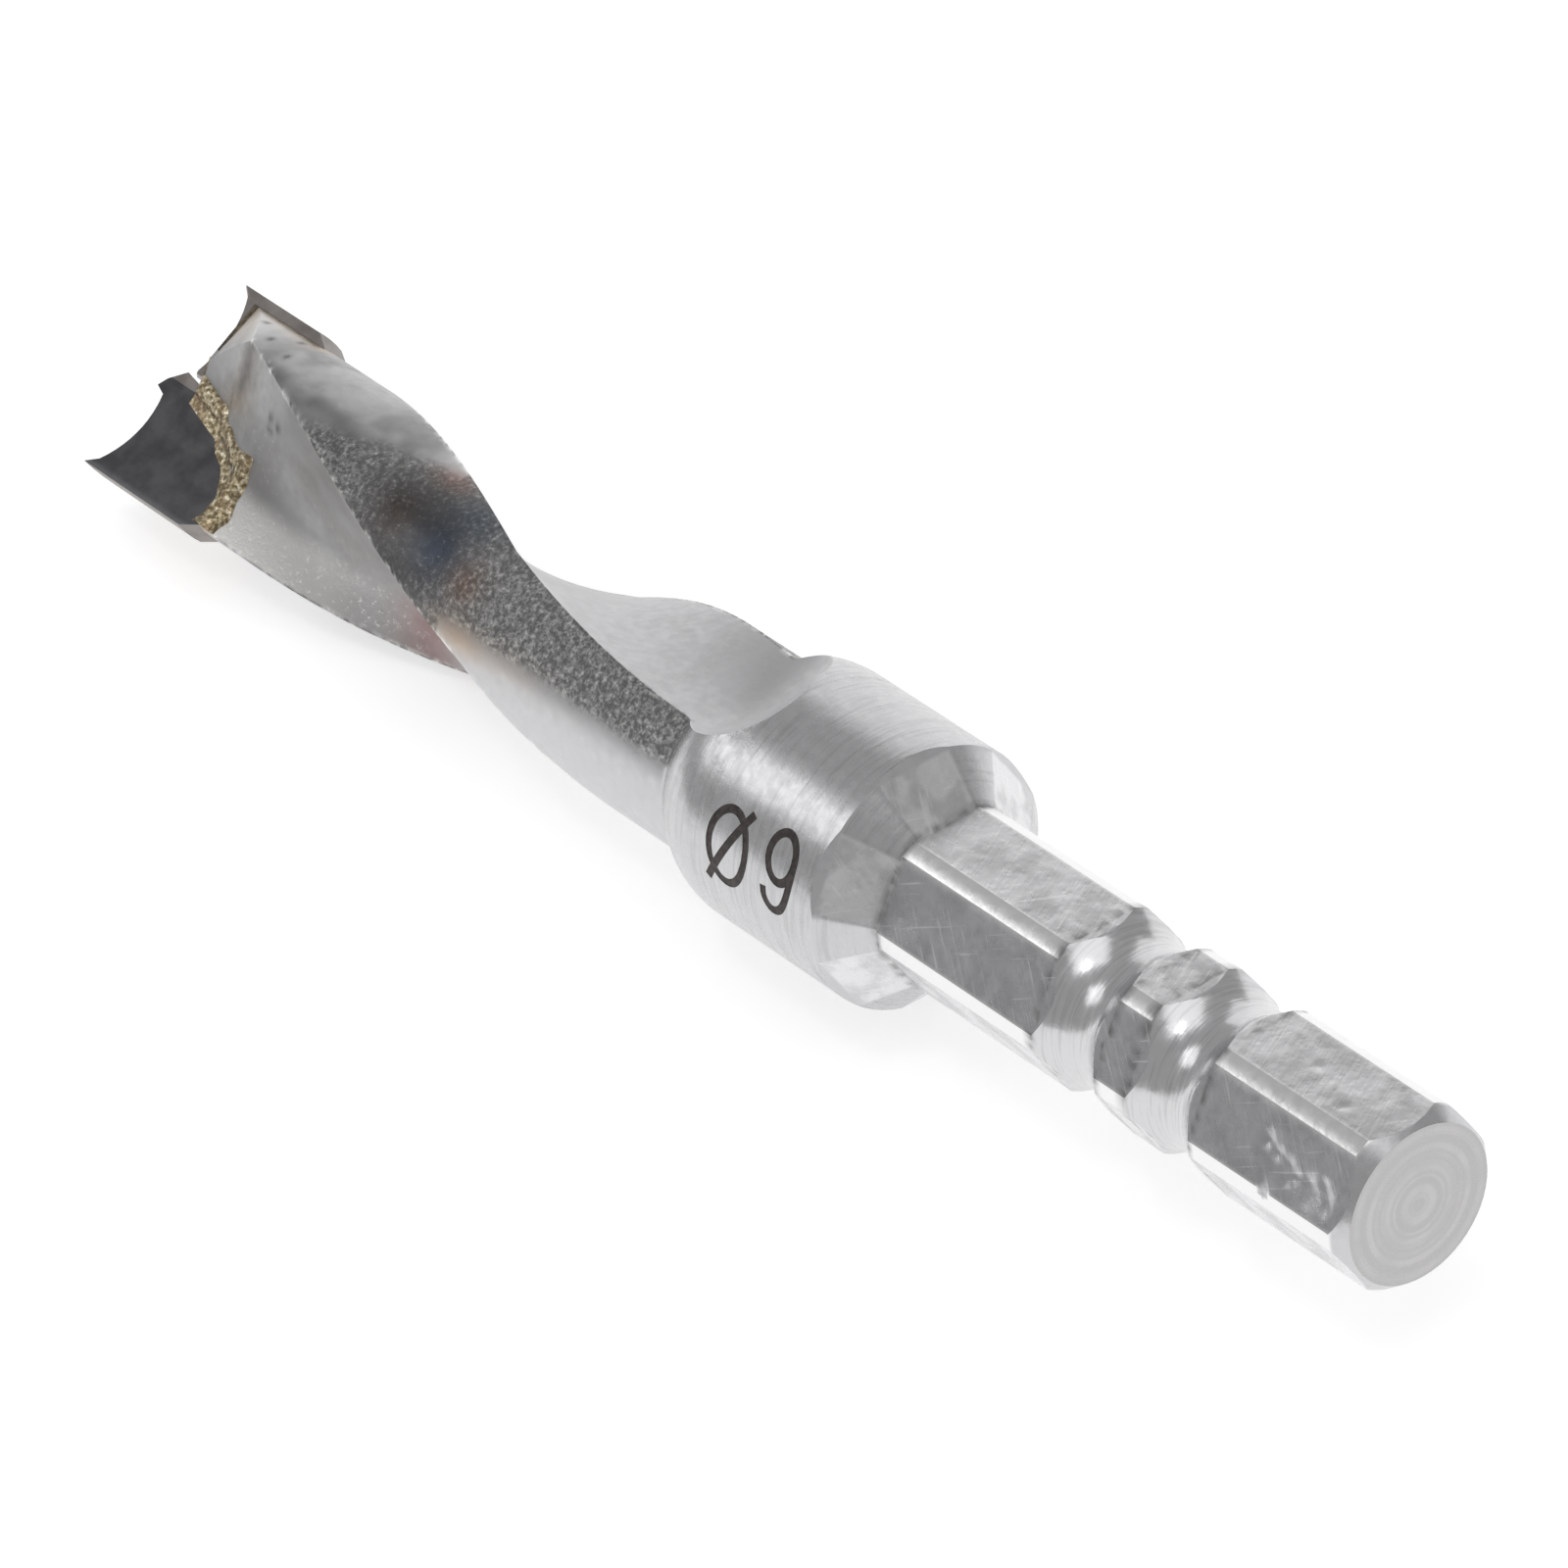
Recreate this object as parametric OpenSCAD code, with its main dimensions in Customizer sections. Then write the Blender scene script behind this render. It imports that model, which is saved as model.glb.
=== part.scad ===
// Hex shank boring bit: two right-hand helical flutes, brazed cutting plates with outer spurs.
// The origin is the centre of the shank's end face, +X runs along the axis to the tip, +Z is up.
// The bit lies on its side, on its collar and on the land near its tip. All sizes are millimetres, all angles are degrees.

/* [Shank] */
// Width across the flats of the hexagon
hex_af = 6.35; // [5.8:0.05:6.6]
// Diameter of the turned bar that rounds the corners of the hexagon
shank_corner_d = 6.98; // [6.8:0.02:7.2]
// Turn of the hexagon about the axis, away from a flat facing up
hex_roll = 13.07; // [-30:0.5:30]
// Diameter of the end face
shank_end_d = 6.08; // [5:0.1:6.4]
// Length of the chamfer at the end face
shank_chamfer = 0.6; // [0.3:0.1:1.2]
// Distance from the end face to the middle of the first groove
groove_first_x = 9.55; // [7:0.1:10.5]
// Distance between the two grooves
groove_pitch = 5; // [4:0.1:6]
// Diameter at the floor of a groove
groove_floor_d = 5.76; // [5.2:0.1:6.2]
// Radius of the groove's round bottom
groove_r = 2.6; // [2:0.1:3]
// Distance from the end face to the end of the flats
hex_length = 24.65; // [22:0.05:25]

/* [Collar] */
// Diameter of the collar
collar_d = 10.2; // [9.6:0.1:12]
// Length of the collar's round face
collar_length = 7; // [5:0.1:8]
// Slope of the cone and of the milled facets behind the collar
collar_back_slope = 45; // [40:1:55]
// Radius of the round shoulder in front of the collar
shoulder_r = 4.2; // [3.8:0.1:4.8]
// Radius where the shoulder runs into the neck
neck_fillet_r = 0.6; // [0.3:0.1:0.9]

/* [Fluted body] */
// Distance from the shank's end face to the tips of the spurs
total_length = 72; // [70:0.5:76]
// Diameter of the neck and of the lands
body_d = 8.2; // [8:0.1:8.4]
// Length of one full turn of a flute
flute_pitch = 75; // [65:1:90]
// Angle that a flute takes out of the body's circle
flute_angle = 113; // [105:1:118]
// Radius from the axis to the steep corner of a flute
flute_corner_r = 1.74; // [1.6:0.02:1.9]
// How strongly the flute's curve is drawn into its corner
flute_fullness = 1.6; // [1.2:0.1:2]
// Distance from the end face to the place where the flutes start to rise
rise_start_x = 48; // [46:0.5:50]
// Rise of the flute floor for each millimetre towards the shank
rise_slope = 0.12; // [0.1:0.01:0.14]
// Distance from the end face to the place where the flutes lift out
lift_start_x = 36; // [35:0.25:37]
// Growth of the lift-out, in millimetres for each square millimetre
lift_growth = 0.108; // [0.09:0.002:0.14]
// Slowing of the helix as the flutes run out
runout_easing = 0.1275; // [0.08:0.0025:0.16]

/* [Cutting plates] */
// Cutting diameter over the two plates
cut_d = 9; // [8.8:0.1:9.4]
// Turn of the cutting plates about the axis
plate_turn = -16.7; // [-40:0.5:10]
// Height of the cutting face above the axis
rake_offset = 0.4; // [0.3:0.02:0.5]
// Thickness of a cutting plate
plate_t = 1.5; // [1.3:0.05:1.7]
// Length of a cutting plate up to its spur
plate_length = 6.9; // [6.5:0.1:7.5]
// Depth of the hollow cutting edge below the spurs
edge_depth = 1.28; // [1.1:0.02:1.4]
// Distance from the axis to the middle of the hollow edge
edge_middle = 2.05; // [1.9:0.05:2.2]
// Radius of the hollow edge
edge_r = 4.25; // [4.1:0.05:4.5]
// Relief angle behind the cutting edge
plate_relief = 40; // [36:1:42]
// Length over which the plate's outside tapers onto the land at its foot
foot_taper = 0.8; // [0.4:0.1:1.2]
// Height of the centre point above the lowest part of the edge
point_rise = 0.82; // [0.6:0.02:1]
// Drop from the lowest part of the edge to the steel end behind the plate
end_drop = 1.29; // [1.25:0.01:1.5]
// Slope angle of the steel end behind the plates
steel_relief = 56; // [50:1:60]
// Slope of that steel end towards its outside
end_tilt = 4; // [0:1:11]
// Thickness of the braze between a plate and its pocket
braze_gap = 0.12; // [0.08:0.01:0.2]
// Width of the braze bead along the inner edge of a plate
bead_w = 0.45; // [0.3:0.05:0.6]
// Height of that bead above the cutting face
bead_height = 0.35; // [0.2:0.05:0.5]
// Length of the braze bead below the foot of a plate
foot_bead_length = 1.3; // [0.8:0.1:1.6]
// Height of the bead below the foot above the cutting face
foot_bead_height = 0.2; // [0.1:0.05:0.3]

/* [Hidden] */
$fn = 96;
eps = 0.01;
shank_r = shank_corner_d/2;
collar_r = collar_d/2;
body_r = body_d/2;
cut_r = cut_d/2;
far = 12;
// how far helper shapes reach past the solid they cut
overshoot = 2;
// the cone starts on the bar just past the flats and ends at the collar's rim
cone_lag = 0.05;
cone_x = hex_length + cone_lag;
collar_back_x = cone_x + (collar_r - shank_r)/tan(collar_back_slope);
collar_front_x = collar_back_x + collar_length;
shoulder_axis_r = collar_r - shoulder_r;
shoulder_steps = 8;
fillet_steps = 4;
// the shank half and the cutting half meet in a plane inside the collar
join_back = 3.3;
join_x = collar_front_x - join_back;
plate_foot_x = total_length - plate_length;
edge_low_x = total_length - edge_depth;
rake_back = rake_offset - plate_t;
end_top_x = edge_low_x - end_drop;
// the spur's inner flank: height above the edge's lowest part, and distance in from the outside
flank_rise = 0.65;
flank_inset = 0.43;
flank_spread = 1.4;
// the centre point: how far its foot passes the axis, its outer side, its tip and its two feet
point_reach = 0.52;
point_side = 0.72;
point_tip_y = 0.53;
point_knee_y = 0.11;
point_knee_rise = 0.6;
point_outer_rise = 0.26;
point_inner_drop = 0.06;
// the bevel that keeps a plate's back out of the opposite flute
bevel_outer_y = 1.75;
bevel_inner_y = 0.5;
// stations of a plate's inner edge, as distance along the axis and distance beside it
hook_rise = 1.7;
hook_y = 0.84;
throat_rise = 2.2;
throat_y = 0.29;
inner_edge = [
    [plate_foot_x, flute_corner_r],
    [plate_foot_x + hook_rise, hook_y],
    [plate_foot_x + throat_rise, throat_y],
    [edge_low_x, -point_reach]
];
helix_rate = 360/flute_pitch;
// angle of a flute's middle above the plate direction, at the foot of the plate
flute_lead = 7.6;
middle_at_foot = flute_angle/2 + flute_lead;
// the corner point lags behind the leading edge by this angle
corner_lag = 3.1;
// the plane cutting face takes over from the flute a little below the foot
blend_lead = 0.9;
blend_length = 2;
face_fullness = 5;
// how deep the bead reaches below the cutting face, and its width at the plate's top
bead_depth = 0.3;
bead_top_w = 0.05;
// the curve starts and ends a little outside the body
mouth_margin = 0.33;
mouth_fan = 30;
ring_step = 0.8;
ring_points = 14;
extra_points = 5;
first_ring_x = total_length + overshoot;
last_ring_x = join_x + 1;
rings = ceil((first_ring_x - last_ring_x)/ring_step);

function polar(r, a) = [r*cos(a), r*sin(a)];
function mix(a, b, t) = a*(1 - t) + b*t;
function ease(t) = t <= 0 ? 0 : t >= 1 ? 1 : t*t*(3 - 2*t);
function turned(p, a) = [p[0]*cos(a) - p[1]*sin(a), p[0]*sin(a) + p[1]*cos(a)];
function angle_of(p) = atan2(p[1], p[0]);

// middle angle of a flute at distance x from the shank's end; the helix slows down in the run-out
function eased(x) = x < rise_start_x - 1 ? rise_start_x - 1 - x : 0;
function middle(x) = middle_at_foot + helix_rate*(x - plate_foot_x) + runout_easing*pow(eased(x), 2);

// how far the flute's section has moved out from the axis
function rise(x) = rise_slope*max(0, rise_start_x - x) + lift_growth*pow(max(0, lift_start_x - x), 2);

// 0 on the helical flute, 1 beside the plane cutting face
function flatness(x) = ease((x - plate_foot_x + blend_lead)/blend_length);

// the three control points of the flute's curve: leading edge, corner and heel
function lead_point(x) = mix(
    turned(polar(body_r, -flute_angle/2) + [rise(x), 0], middle(x)),
    [sqrt(body_r*body_r - rake_offset*rake_offset), rake_offset], flatness(x));
function corner_point(x) = mix(
    turned(polar(flute_corner_r, corner_lag - flute_angle/2) + [rise(x), 0], middle(x)),
    [lookup(x, inner_edge), rake_offset], flatness(x));
function heel_point(x) = turned(polar(body_r, flute_angle/2) + [rise(x), 0], middle(x));

// weighted curve drawn from the leading edge to the heel
function curve(a, b, c, w, t) =
    (a*pow(1 - t, 2) + b*2*w*t*(1 - t) + c*t*t)/(pow(1 - t, 2) + 2*w*t*(1 - t) + t*t);
function outward(from, to, length) = to + (to - from)/norm(to - from)*length;

// one section of the space that a flute takes away, closed well outside the blank
function section(x) = let (
    b = corner_point(x),
    a = outward(b, lead_point(x), mouth_margin),
    c = outward(b, heel_point(x), mouth_margin),
    w = mix(flute_fullness, face_fullness, flatness(x)),
    m = (angle_of(a) + angle_of(c) + (angle_of(c) < angle_of(a) ? 360 : 0))/2
) concat(
    [outward(b, a, overshoot)],
    [for (i = [0:ring_points]) curve(a, b, c, w, i/ring_points)],
    [outward(b, c, overshoot), polar(far, m + mouth_fan), polar(far, m - mouth_fan)]
);

module flute_space() {
    n = ring_points + extra_points;
    points = [for (k = [0:rings])
        let (x = first_ring_x - k*ring_step)
        for (p = section(x)) [x, p[0], p[1]]];
    walls = [for (k = [0:rings - 1], i = [0:n - 1]) let (
        a = k*n + i,
        b = k*n + (i + 1)%n
    ) each [[a, a + n, b + n], [a, b + n, b]]];
    caps = [[for (i = [0:n - 1]) i], [for (i = [n - 1:-1:0]) rings*n + i]];
    polyhedron(points, concat(walls, caps), convexity = 6);
}

// the frame of a flute and its plate: +Y runs along the cutting edge, +Z faces into the flute
module cutting_side(i) {
    rotate([plate_turn + 180*i, 0, 0])
        children();
}

// a solid of revolution about the axis, from a profile drawn as distance along and radius
module turned_about_axis() {
    rotate([0, 90, 0])
        rotate([0, 0, 90])
            rotate_extrude()
                mirror([1, -1])
                    children();
}

// the turned outline, as distance along the axis and radius
module blank_profile() {
    reach = shoulder_r + neck_fillet_r;
    drop = body_r + neck_fillet_r - shoulder_axis_r;
    meet = asin(drop/reach);
    fillet_x = collar_front_x + reach*cos(meet);
    polygon(concat(
        [
            [0, 0],
            [0, shank_end_d/2],
            [shank_chamfer, shank_r],
            [cone_x, shank_r],
            [collar_back_x, collar_r]
        ],
        [for (i = [0:shoulder_steps])
            [collar_front_x, shoulder_axis_r] + polar(shoulder_r, 90 - i*(90 - meet)/shoulder_steps)],
        [for (i = [1:fillet_steps])
            [fillet_x, body_r + neck_fillet_r]
            + polar(neck_fillet_r, 180 + meet + i*(90 - meet)/fillet_steps)],
        [[total_length, body_r], [total_length, 0]]
    ));
}

module blank() {
    turned_about_axis()
        blank_profile();
}

// everything outside the hexagon: flats along the shank, sloping facets in front of them
module outside_hexagon() {
    for (i = [0:5])
        rotate([hex_roll + i*60, 0, 0])
            translate([0, 0, hex_af/2])
                rotate([90, 0, 0])
                    linear_extrude(far, center = true)
                        polygon([
                            [-overshoot, 0],
                            [hex_length, 0],
                            [hex_length + far/tan(collar_back_slope), far],
                            [-overshoot, far]
                        ]);
}

module grooves() {
    for (i = [0, 1])
        turned_about_axis()
            translate([groove_first_x + i*groove_pitch, groove_floor_d/2 + groove_r])
                circle(groove_r);
}

// the steel end slopes back behind the plate and falls a little towards its outside
module end_slope() {
    translate([end_top_x, 0, rake_back - braze_gap])
        rotate([0, 0, end_tilt])
            rotate([90, 0, 0])
                linear_extrude(2*far, center = true)
                    polygon([
                        [0, 0],
                        [-far*tan(steel_relief), -far],
                        [far, -far],
                        [far, 0]
                    ]);
}

module fluted_end_cuts() {
    for (i = [0, 1])
        cutting_side(i) {
            flute_space();
            end_slope();
        }
    translate([end_top_x, -far, -far])
        cube([far, 2*far, 2*far]);
}

// outline of a plate seen square to its cutting face, before its end is ground
module plate_outline(grow) {
    polygon(concat(
        [[plate_foot_x - grow, far]],
        [for (p = inner_edge) [p[0] - (p[0] == plate_foot_x ? grow : 0), p[1] - grow]],
        [[total_length + 1, -point_reach - grow], [total_length + 1, far]]
    ));
}

// the relief frame passes through the cutting face and is tilted by the relief angle
function along(x) = (x - total_length)*cos(plate_relief);
module relieved() {
    translate([total_length, 0, rake_offset])
        rotate([0, plate_relief, 0])
            linear_extrude(2*far, center = true)
                children();
}

// the space above the hollow cutting edge and beside the spur
module edge_hollow() {
    flank_x = edge_low_x + flank_rise;
    difference() {
        intersection() {
            translate([along(edge_low_x) + edge_r, edge_middle])
                circle(edge_r);
            translate([-far, point_side])
                square(2*far);
        }
        polygon([
            [along(flank_x), cut_r - flank_inset],
            [along(total_length), cut_r],
            [along(total_length) + overshoot, cut_r + flank_spread],
            [along(flank_x), far]
        ]);
    }
}

// the space round the centre point, which only the first plate carries
module point_sides() {
    polygon([
        [along(edge_low_x + point_outer_rise), point_side + eps],
        [along(edge_low_x + point_rise), point_tip_y],
        [along(edge_low_x + point_knee_rise), point_knee_y],
        [along(edge_low_x - point_inner_drop), -point_reach],
        [along(edge_low_x - point_inner_drop), -far],
        [far, -far],
        [far, point_side + eps]
    ]);
}

// the second plate ends where the first one passes the axis
module inner_end() {
    translate([-far, -far])
        square([2*far, far + point_reach + braze_gap]);
    translate([along(edge_low_x + point_outer_rise), 0])
        square([far, point_side + eps]);
}

// the back of a plate is bevelled where it would stand out of the opposite flute
module plate_section(grow) {
    polygon([
        [-far, rake_offset],
        [far, rake_offset],
        [far, rake_back - grow],
        [bevel_outer_y - grow/2, rake_back - grow],
        [bevel_inner_y - grow/2, -rake_offset - grow],
        [-far, -rake_offset - grow]
    ]);
}

module plate_block(grow) {
    intersection() {
        translate([0, 0, rake_back - grow])
            linear_extrude(plate_t + grow)
                plate_outline(grow);
        rotate([90, 0, 90])
            linear_extrude(total_length + 1)
                plate_section(grow);
    }
}

// the turned outside of the plates, which tapers onto the land at the foot
module plate_outside() {
    translate([plate_foot_x, 0, 0])
        rotate([0, 90, 0]) {
            cylinder(h = foot_taper, r1 = body_r, r2 = cut_r);
            translate([0, 0, foot_taper - eps])
                cylinder(h = plate_length, r = cut_r);
        }
}

module plate(with_point) {
    intersection() {
        plate_block(0);
        plate_outside();
        difference() {
            translate([plate_foot_x - 1, -far, -far])
                cube(2*far);
            relieved() {
                edge_hollow();
                if (with_point)
                    point_sides();
                else
                    inner_end();
            }
        }
    }
}

// the space in front of a plate's cutting face, which the braze leaves free
module face_clearance() {
    translate([0, 0, rake_offset])
        linear_extrude(far)
            plate_outline(0);
}

// the strip beside a plate's inner edge, which narrows towards the tip
module bead_outline() {
    last = len(inner_edge) - 1;
    polygon(concat(
        inner_edge,
        [for (i = [last:-1:0]) inner_edge[i] - [0, i == last ? bead_top_w : bead_w]]
    ));
}

// the braze beside a plate's inner edge and below its foot
module bead(height, foot_height) {
    translate([0, 0, rake_offset - bead_depth]) {
        linear_extrude(bead_depth + height)
            bead_outline();
        translate([plate_foot_x - foot_bead_length, flute_corner_r - bead_w, 0])
            cube([foot_bead_length, body_r - flute_corner_r, bead_depth + foot_height]);
    }
}

// what the braze and the plate fill together
module filled_seat() {
    plate_block(braze_gap);
    bead(bead_height, foot_bead_height);
}

// what is taken out of the steel: the seat, open towards the flute
module open_seat() {
    plate_block(braze_gap);
    bead(far, far);
    face_clearance();
}

module braze(i) {
    difference() {
        intersection() {
            cutting_side(i)
                filled_seat();
            rotate([0, 90, 0])
                cylinder(h = end_top_x, r = body_r);
        }
        cutting_side(i)
            end_slope();
        cutting_side(1 - i)
            face_clearance();
        cutting_side(0)
            plate(true);
        cutting_side(1)
            plate(false);
        if (i == 1)
            cutting_side(0)
                filled_seat();
    }
}

// shank and collar up to the plane where the two halves of the body join
module shank_half() {
    difference() {
        blank();
        outside_hexagon();
        grooves();
        translate([join_x, -far, -far])
            cube([total_length, 2*far, 2*far]);
    }
}

module cutting_half() {
    difference() {
        blank();
        translate([join_x - total_length, -far, -far])
            cube([total_length, 2*far, 2*far]);
        fluted_end_cuts();
        for (i = [0, 1])
            cutting_side(i)
                open_seat();
    }
}

module steel_body() {
    color([0.6, 0.6, 0.61])
        union() {
            shank_half();
            cutting_half();
        }
}

module carbide_tip_1() {
    color([0.27, 0.27, 0.28])
        cutting_side(0)
            plate(true);
}

module carbide_tip_2() {
    color([0.27, 0.27, 0.28])
        cutting_side(1)
            plate(false);
}

module braze_seam_1() {
    color([0.62, 0.53, 0.32])
        braze(0);
}

module braze_seam_2() {
    color([0.62, 0.53, 0.32])
        braze(1);
}

steel_body();
carbide_tip_1();
carbide_tip_2();
braze_seam_1();
braze_seam_2();
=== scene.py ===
# %% [markdown]
# # Hex shank boring bit: looks for the imported model
#
# The bit lies on its side along +X, with the shank's end face at the origin and the cutting tip at
# x = 72 mm. This notebook lays one finer surface over the imported steel body, rounds the edges of the
# cutting plates, adds the lumpy braze beside them, paints heat and wear, paints some shade, highlights
# and glints into the colours, and lights the bit as in the photograph. Lengths in the formulas are
# millimetres; every Blender mesh is in metres.

# %% Load the imported frame
import math

import bmesh
import bpy
import numpy as np
from mathutils import Euler, Matrix, Vector


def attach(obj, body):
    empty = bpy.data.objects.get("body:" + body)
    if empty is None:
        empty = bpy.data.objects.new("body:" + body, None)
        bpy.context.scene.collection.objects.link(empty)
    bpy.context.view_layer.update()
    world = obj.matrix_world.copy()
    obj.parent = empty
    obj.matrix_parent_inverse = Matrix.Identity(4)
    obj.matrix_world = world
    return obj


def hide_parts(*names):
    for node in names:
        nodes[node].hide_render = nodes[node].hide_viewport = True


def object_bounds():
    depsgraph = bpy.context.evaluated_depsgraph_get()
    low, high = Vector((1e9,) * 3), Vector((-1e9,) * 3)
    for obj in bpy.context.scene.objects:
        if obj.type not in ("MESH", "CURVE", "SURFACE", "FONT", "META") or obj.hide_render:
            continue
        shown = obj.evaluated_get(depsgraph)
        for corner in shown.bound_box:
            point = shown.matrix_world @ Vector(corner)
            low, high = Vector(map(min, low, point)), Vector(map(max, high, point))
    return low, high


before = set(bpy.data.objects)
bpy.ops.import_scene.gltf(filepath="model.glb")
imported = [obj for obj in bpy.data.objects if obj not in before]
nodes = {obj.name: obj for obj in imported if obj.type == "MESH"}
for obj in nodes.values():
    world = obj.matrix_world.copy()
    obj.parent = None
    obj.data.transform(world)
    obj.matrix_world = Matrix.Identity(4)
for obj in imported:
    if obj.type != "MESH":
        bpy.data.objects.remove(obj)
cad_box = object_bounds()
MM = 0.001
print("nodes:", sorted(nodes))

# %% [markdown]
# ## Sizes
#
# These are the source's own sizes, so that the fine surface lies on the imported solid. They come in the
# order of making: first the bar that is turned, then the flutes milled into it, then the plates and
# their seats. `APOTHEM` is half the width across flats.

# %% Sizes of the turned blank
APOTHEM = 6.35 / 2
SHANK_R = 6.98 / 2
HEX_ROLL = 13.07
HEX_LENGTH = 24.65
END_R, CHAMFER = 6.08 / 2, 0.6
GROOVES = (9.55, 14.55)
GROOVE_FLOOR_R, GROOVE_R = 5.76 / 2, 2.6
COLLAR_R = 10.2 / 2
CONE_X = HEX_LENGTH + 0.05
COLLAR_BACK = CONE_X + COLLAR_R - SHANK_R
COLLAR_FRONT = COLLAR_BACK + 7.0
SHOULDER_R, FILLET_R = 4.2, 0.6
BODY_R = 8.2 / 2
TOTAL = 72.0
print("collar from", round(COLLAR_BACK, 2), "to", round(COLLAR_FRONT, 2))

# %% [markdown]
# A flute is told by its pitch, the angle that its mouth spans, and the corner between its two walls.
# `RISE` and `LIFT` move it outward towards the shank, and `EASING` slows its turning there. A larger
# fullness draws the curve closer to its corner.

# %% Sizes of the flutes
PITCH = 75.0
FLUTE_ANGLE, FLUTE_AHEAD = 113.0, 7.6
CORNER_R, CORNER_TURN = 1.74, 3.1
FULLNESS, SEAT_FULLNESS = 1.6, 5.0
MOUTH = 0.33
RISE_X, RISE_SLOPE = 48.0, 0.12
LIFT_X, LIFT_GROWTH = 36.0, 0.108
EASING, EASING_X = 0.1275, 47.0
print("one turn of a flute takes", PITCH, "mm")

# %% [markdown]
# A plate lies in a frame of its own, turned about +X by `PLATE_TURN`. There +Y runs along the cutting
# edge, and `RAKE` is the height of the cutting face over the axis. Each plate's back is thick outside
# `THICK_FROM` and thin inside `THIN_TO`, so that the two pass each other at the axis.

# %% Sizes of the plates and their seats
PLATE_TURN = -16.7
RAKE, PLATE_T, GAP = 0.4, 1.5, 0.12
RAKE_BACK = RAKE - PLATE_T
FOOT_X, EDGE_LOW = TOTAL - 6.9, TOTAL - 1.28
END_TOP, END_TILT = EDGE_LOW - 1.29, 4.0
STEEL_RELIEF = 56.0
THICK_FROM, THIN_TO = 1.75, 0.5
INNER_EDGE = np.array([
    [FOOT_X, CORNER_R],
    [FOOT_X + 1.7, 0.84],
    [FOOT_X + 2.2, 0.29],
    [EDGE_LOW, -0.52],
])
print("a plate runs from", FOOT_X, "to", TOTAL)

# %% [markdown]
# ## The turned blank
#
# Before any milling the steel is a round bar turned on a lathe, so one function gives its radius at
# each x: a chamfered end, a bar with two round-bottomed grooves, a cone up to the collar, and a
# rounded shoulder that meets the neck in a small hollow fillet. Three short helpers come first.


# %% Radius of the blank
def turn(p, degrees):
    """Turns 2-D points by an angle about the origin."""
    a = np.radians(degrees)
    c, s = np.cos(a), np.sin(a)
    return np.stack([p[..., 0] * c - p[..., 1] * s, p[..., 0] * s + p[..., 1] * c], -1)


def ease(t):
    """Smooth step from 0 to 1: t^2 (3 - 2t)."""
    t = np.clip(t, 0, 1)
    return t * t * (3 - 2 * t)


def arc_height(r, offset):
    """Height of a circle of radius r at an offset from its middle: sqrt(r^2 - offset^2), or 0 past it."""
    return np.sqrt(np.clip(r ** 2 - offset ** 2, 0, None))


def blank_radius(x):
    """Radius of the turned blank at distance x: chamfer, bar, grooves, cone, collar, shoulder, neck."""
    x = np.asarray(x, float)
    r = np.where(x < CHAMFER, END_R + (SHANK_R - END_R) * x / CHAMFER, SHANK_R)
    r = np.where(x > CONE_X, SHANK_R + (x - CONE_X), r)
    r = np.minimum(r, COLLAR_R)
    for g in GROOVES:
        floor_r = GROOVE_FLOOR_R + GROOVE_R - arc_height(GROOVE_R, x - g)
        r = np.where(np.abs(x - g) < GROOVE_R, np.minimum(r, floor_r), r)
    axis_r = COLLAR_R - SHOULDER_R
    reach = SHOULDER_R + FILLET_R
    meet = math.asin((BODY_R + FILLET_R - axis_r) / reach)
    fillet_x = COLLAR_FRONT + reach * math.cos(meet)
    meet_x = COLLAR_FRONT + SHOULDER_R * math.cos(meet)
    r = np.where(x > COLLAR_FRONT, axis_r + arc_height(SHOULDER_R, x - COLLAR_FRONT), r)
    r = np.where(x > meet_x, BODY_R + FILLET_R - arc_height(FILLET_R, x - fillet_x), r)
    return np.where(x > fillet_x, BODY_R, r)


print("radius in the first groove:", round(float(blank_radius(GROOVES[0])), 2))

# %% [markdown]
# ## Rings of the hexagonal shank
#
# At distance x the section is the blank's circle cut by six flats. A flat at apothem a cuts a circle
# of radius R at plus or minus acos(a / R) from its middle, so each flat gets a fixed number of points
# between those two angles and each corner arc gets the rest. In front of the flats the apothem grows
# by 1 mm each millimetre, which makes the sloping facets of the run-out. Past them the points spread
# evenly, ready for the plain collar.

# %% Sections with six flats
HEX_POINTS, ARC_POINTS = 24, 9
RING = 6 * (HEX_POINTS + ARC_POINTS)
EVEN_HALF = math.pi / 6 * HEX_POINTS / (HEX_POINTS + ARC_POINTS)
FLATS_END = HEX_LENGTH + COLLAR_R - APOTHEM
SPREAD_OVER = 0.5


def hex_ring(x):
    """(angles, radii) of one ring round the shank, angles increasing from the first flat's edge."""
    r = float(blank_radius(x))
    a = APOTHEM + max(0.0, x - HEX_LENGTH)
    spread_by = min(max(x - FLATS_END, 0.0) / SPREAD_OVER, 1.0)
    half = max(math.acos(min(1.0, a / r)), EVEN_HALF * spread_by)
    flat = np.linspace(-half, half, HEX_POINTS, endpoint=False)
    arc = np.linspace(half, math.pi / 3 - half, ARC_POINTS, endpoint=False)
    one = np.concatenate([flat, arc])
    radii = np.concatenate([np.minimum(a / np.cos(flat), r), np.full(ARC_POINTS, r)])
    first = math.radians(90 + HEX_ROLL)
    angles = np.concatenate([one + first + k * math.pi / 3 for k in range(6)])
    return angles, np.tile(radii, 6)


print("points in a ring:", RING)

# %% [markdown]
# ## Rings of the fluted end
#
# A flute's section is a weighted quadratic curve C(t) = (A (1-t)^2 + 2 w B t (1-t) + C t^2) /
# ((1-t)^2 + 2 w t (1-t) + t^2) from its leading edge A over its corner B to its heel C. The three
# points turn with the helix. Towards the shank the whole section rises and the helix slows down, so
# the flute narrows and runs out on the collar. Beside the plate the leading wall turns into the
# plate's own cutting face.

# %% A flute's section
SEAT_BEFORE, SEAT_OVER = 0.9, 2.0
CURVE_POINTS, PAST_MOUTH = 401, 2.0


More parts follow.
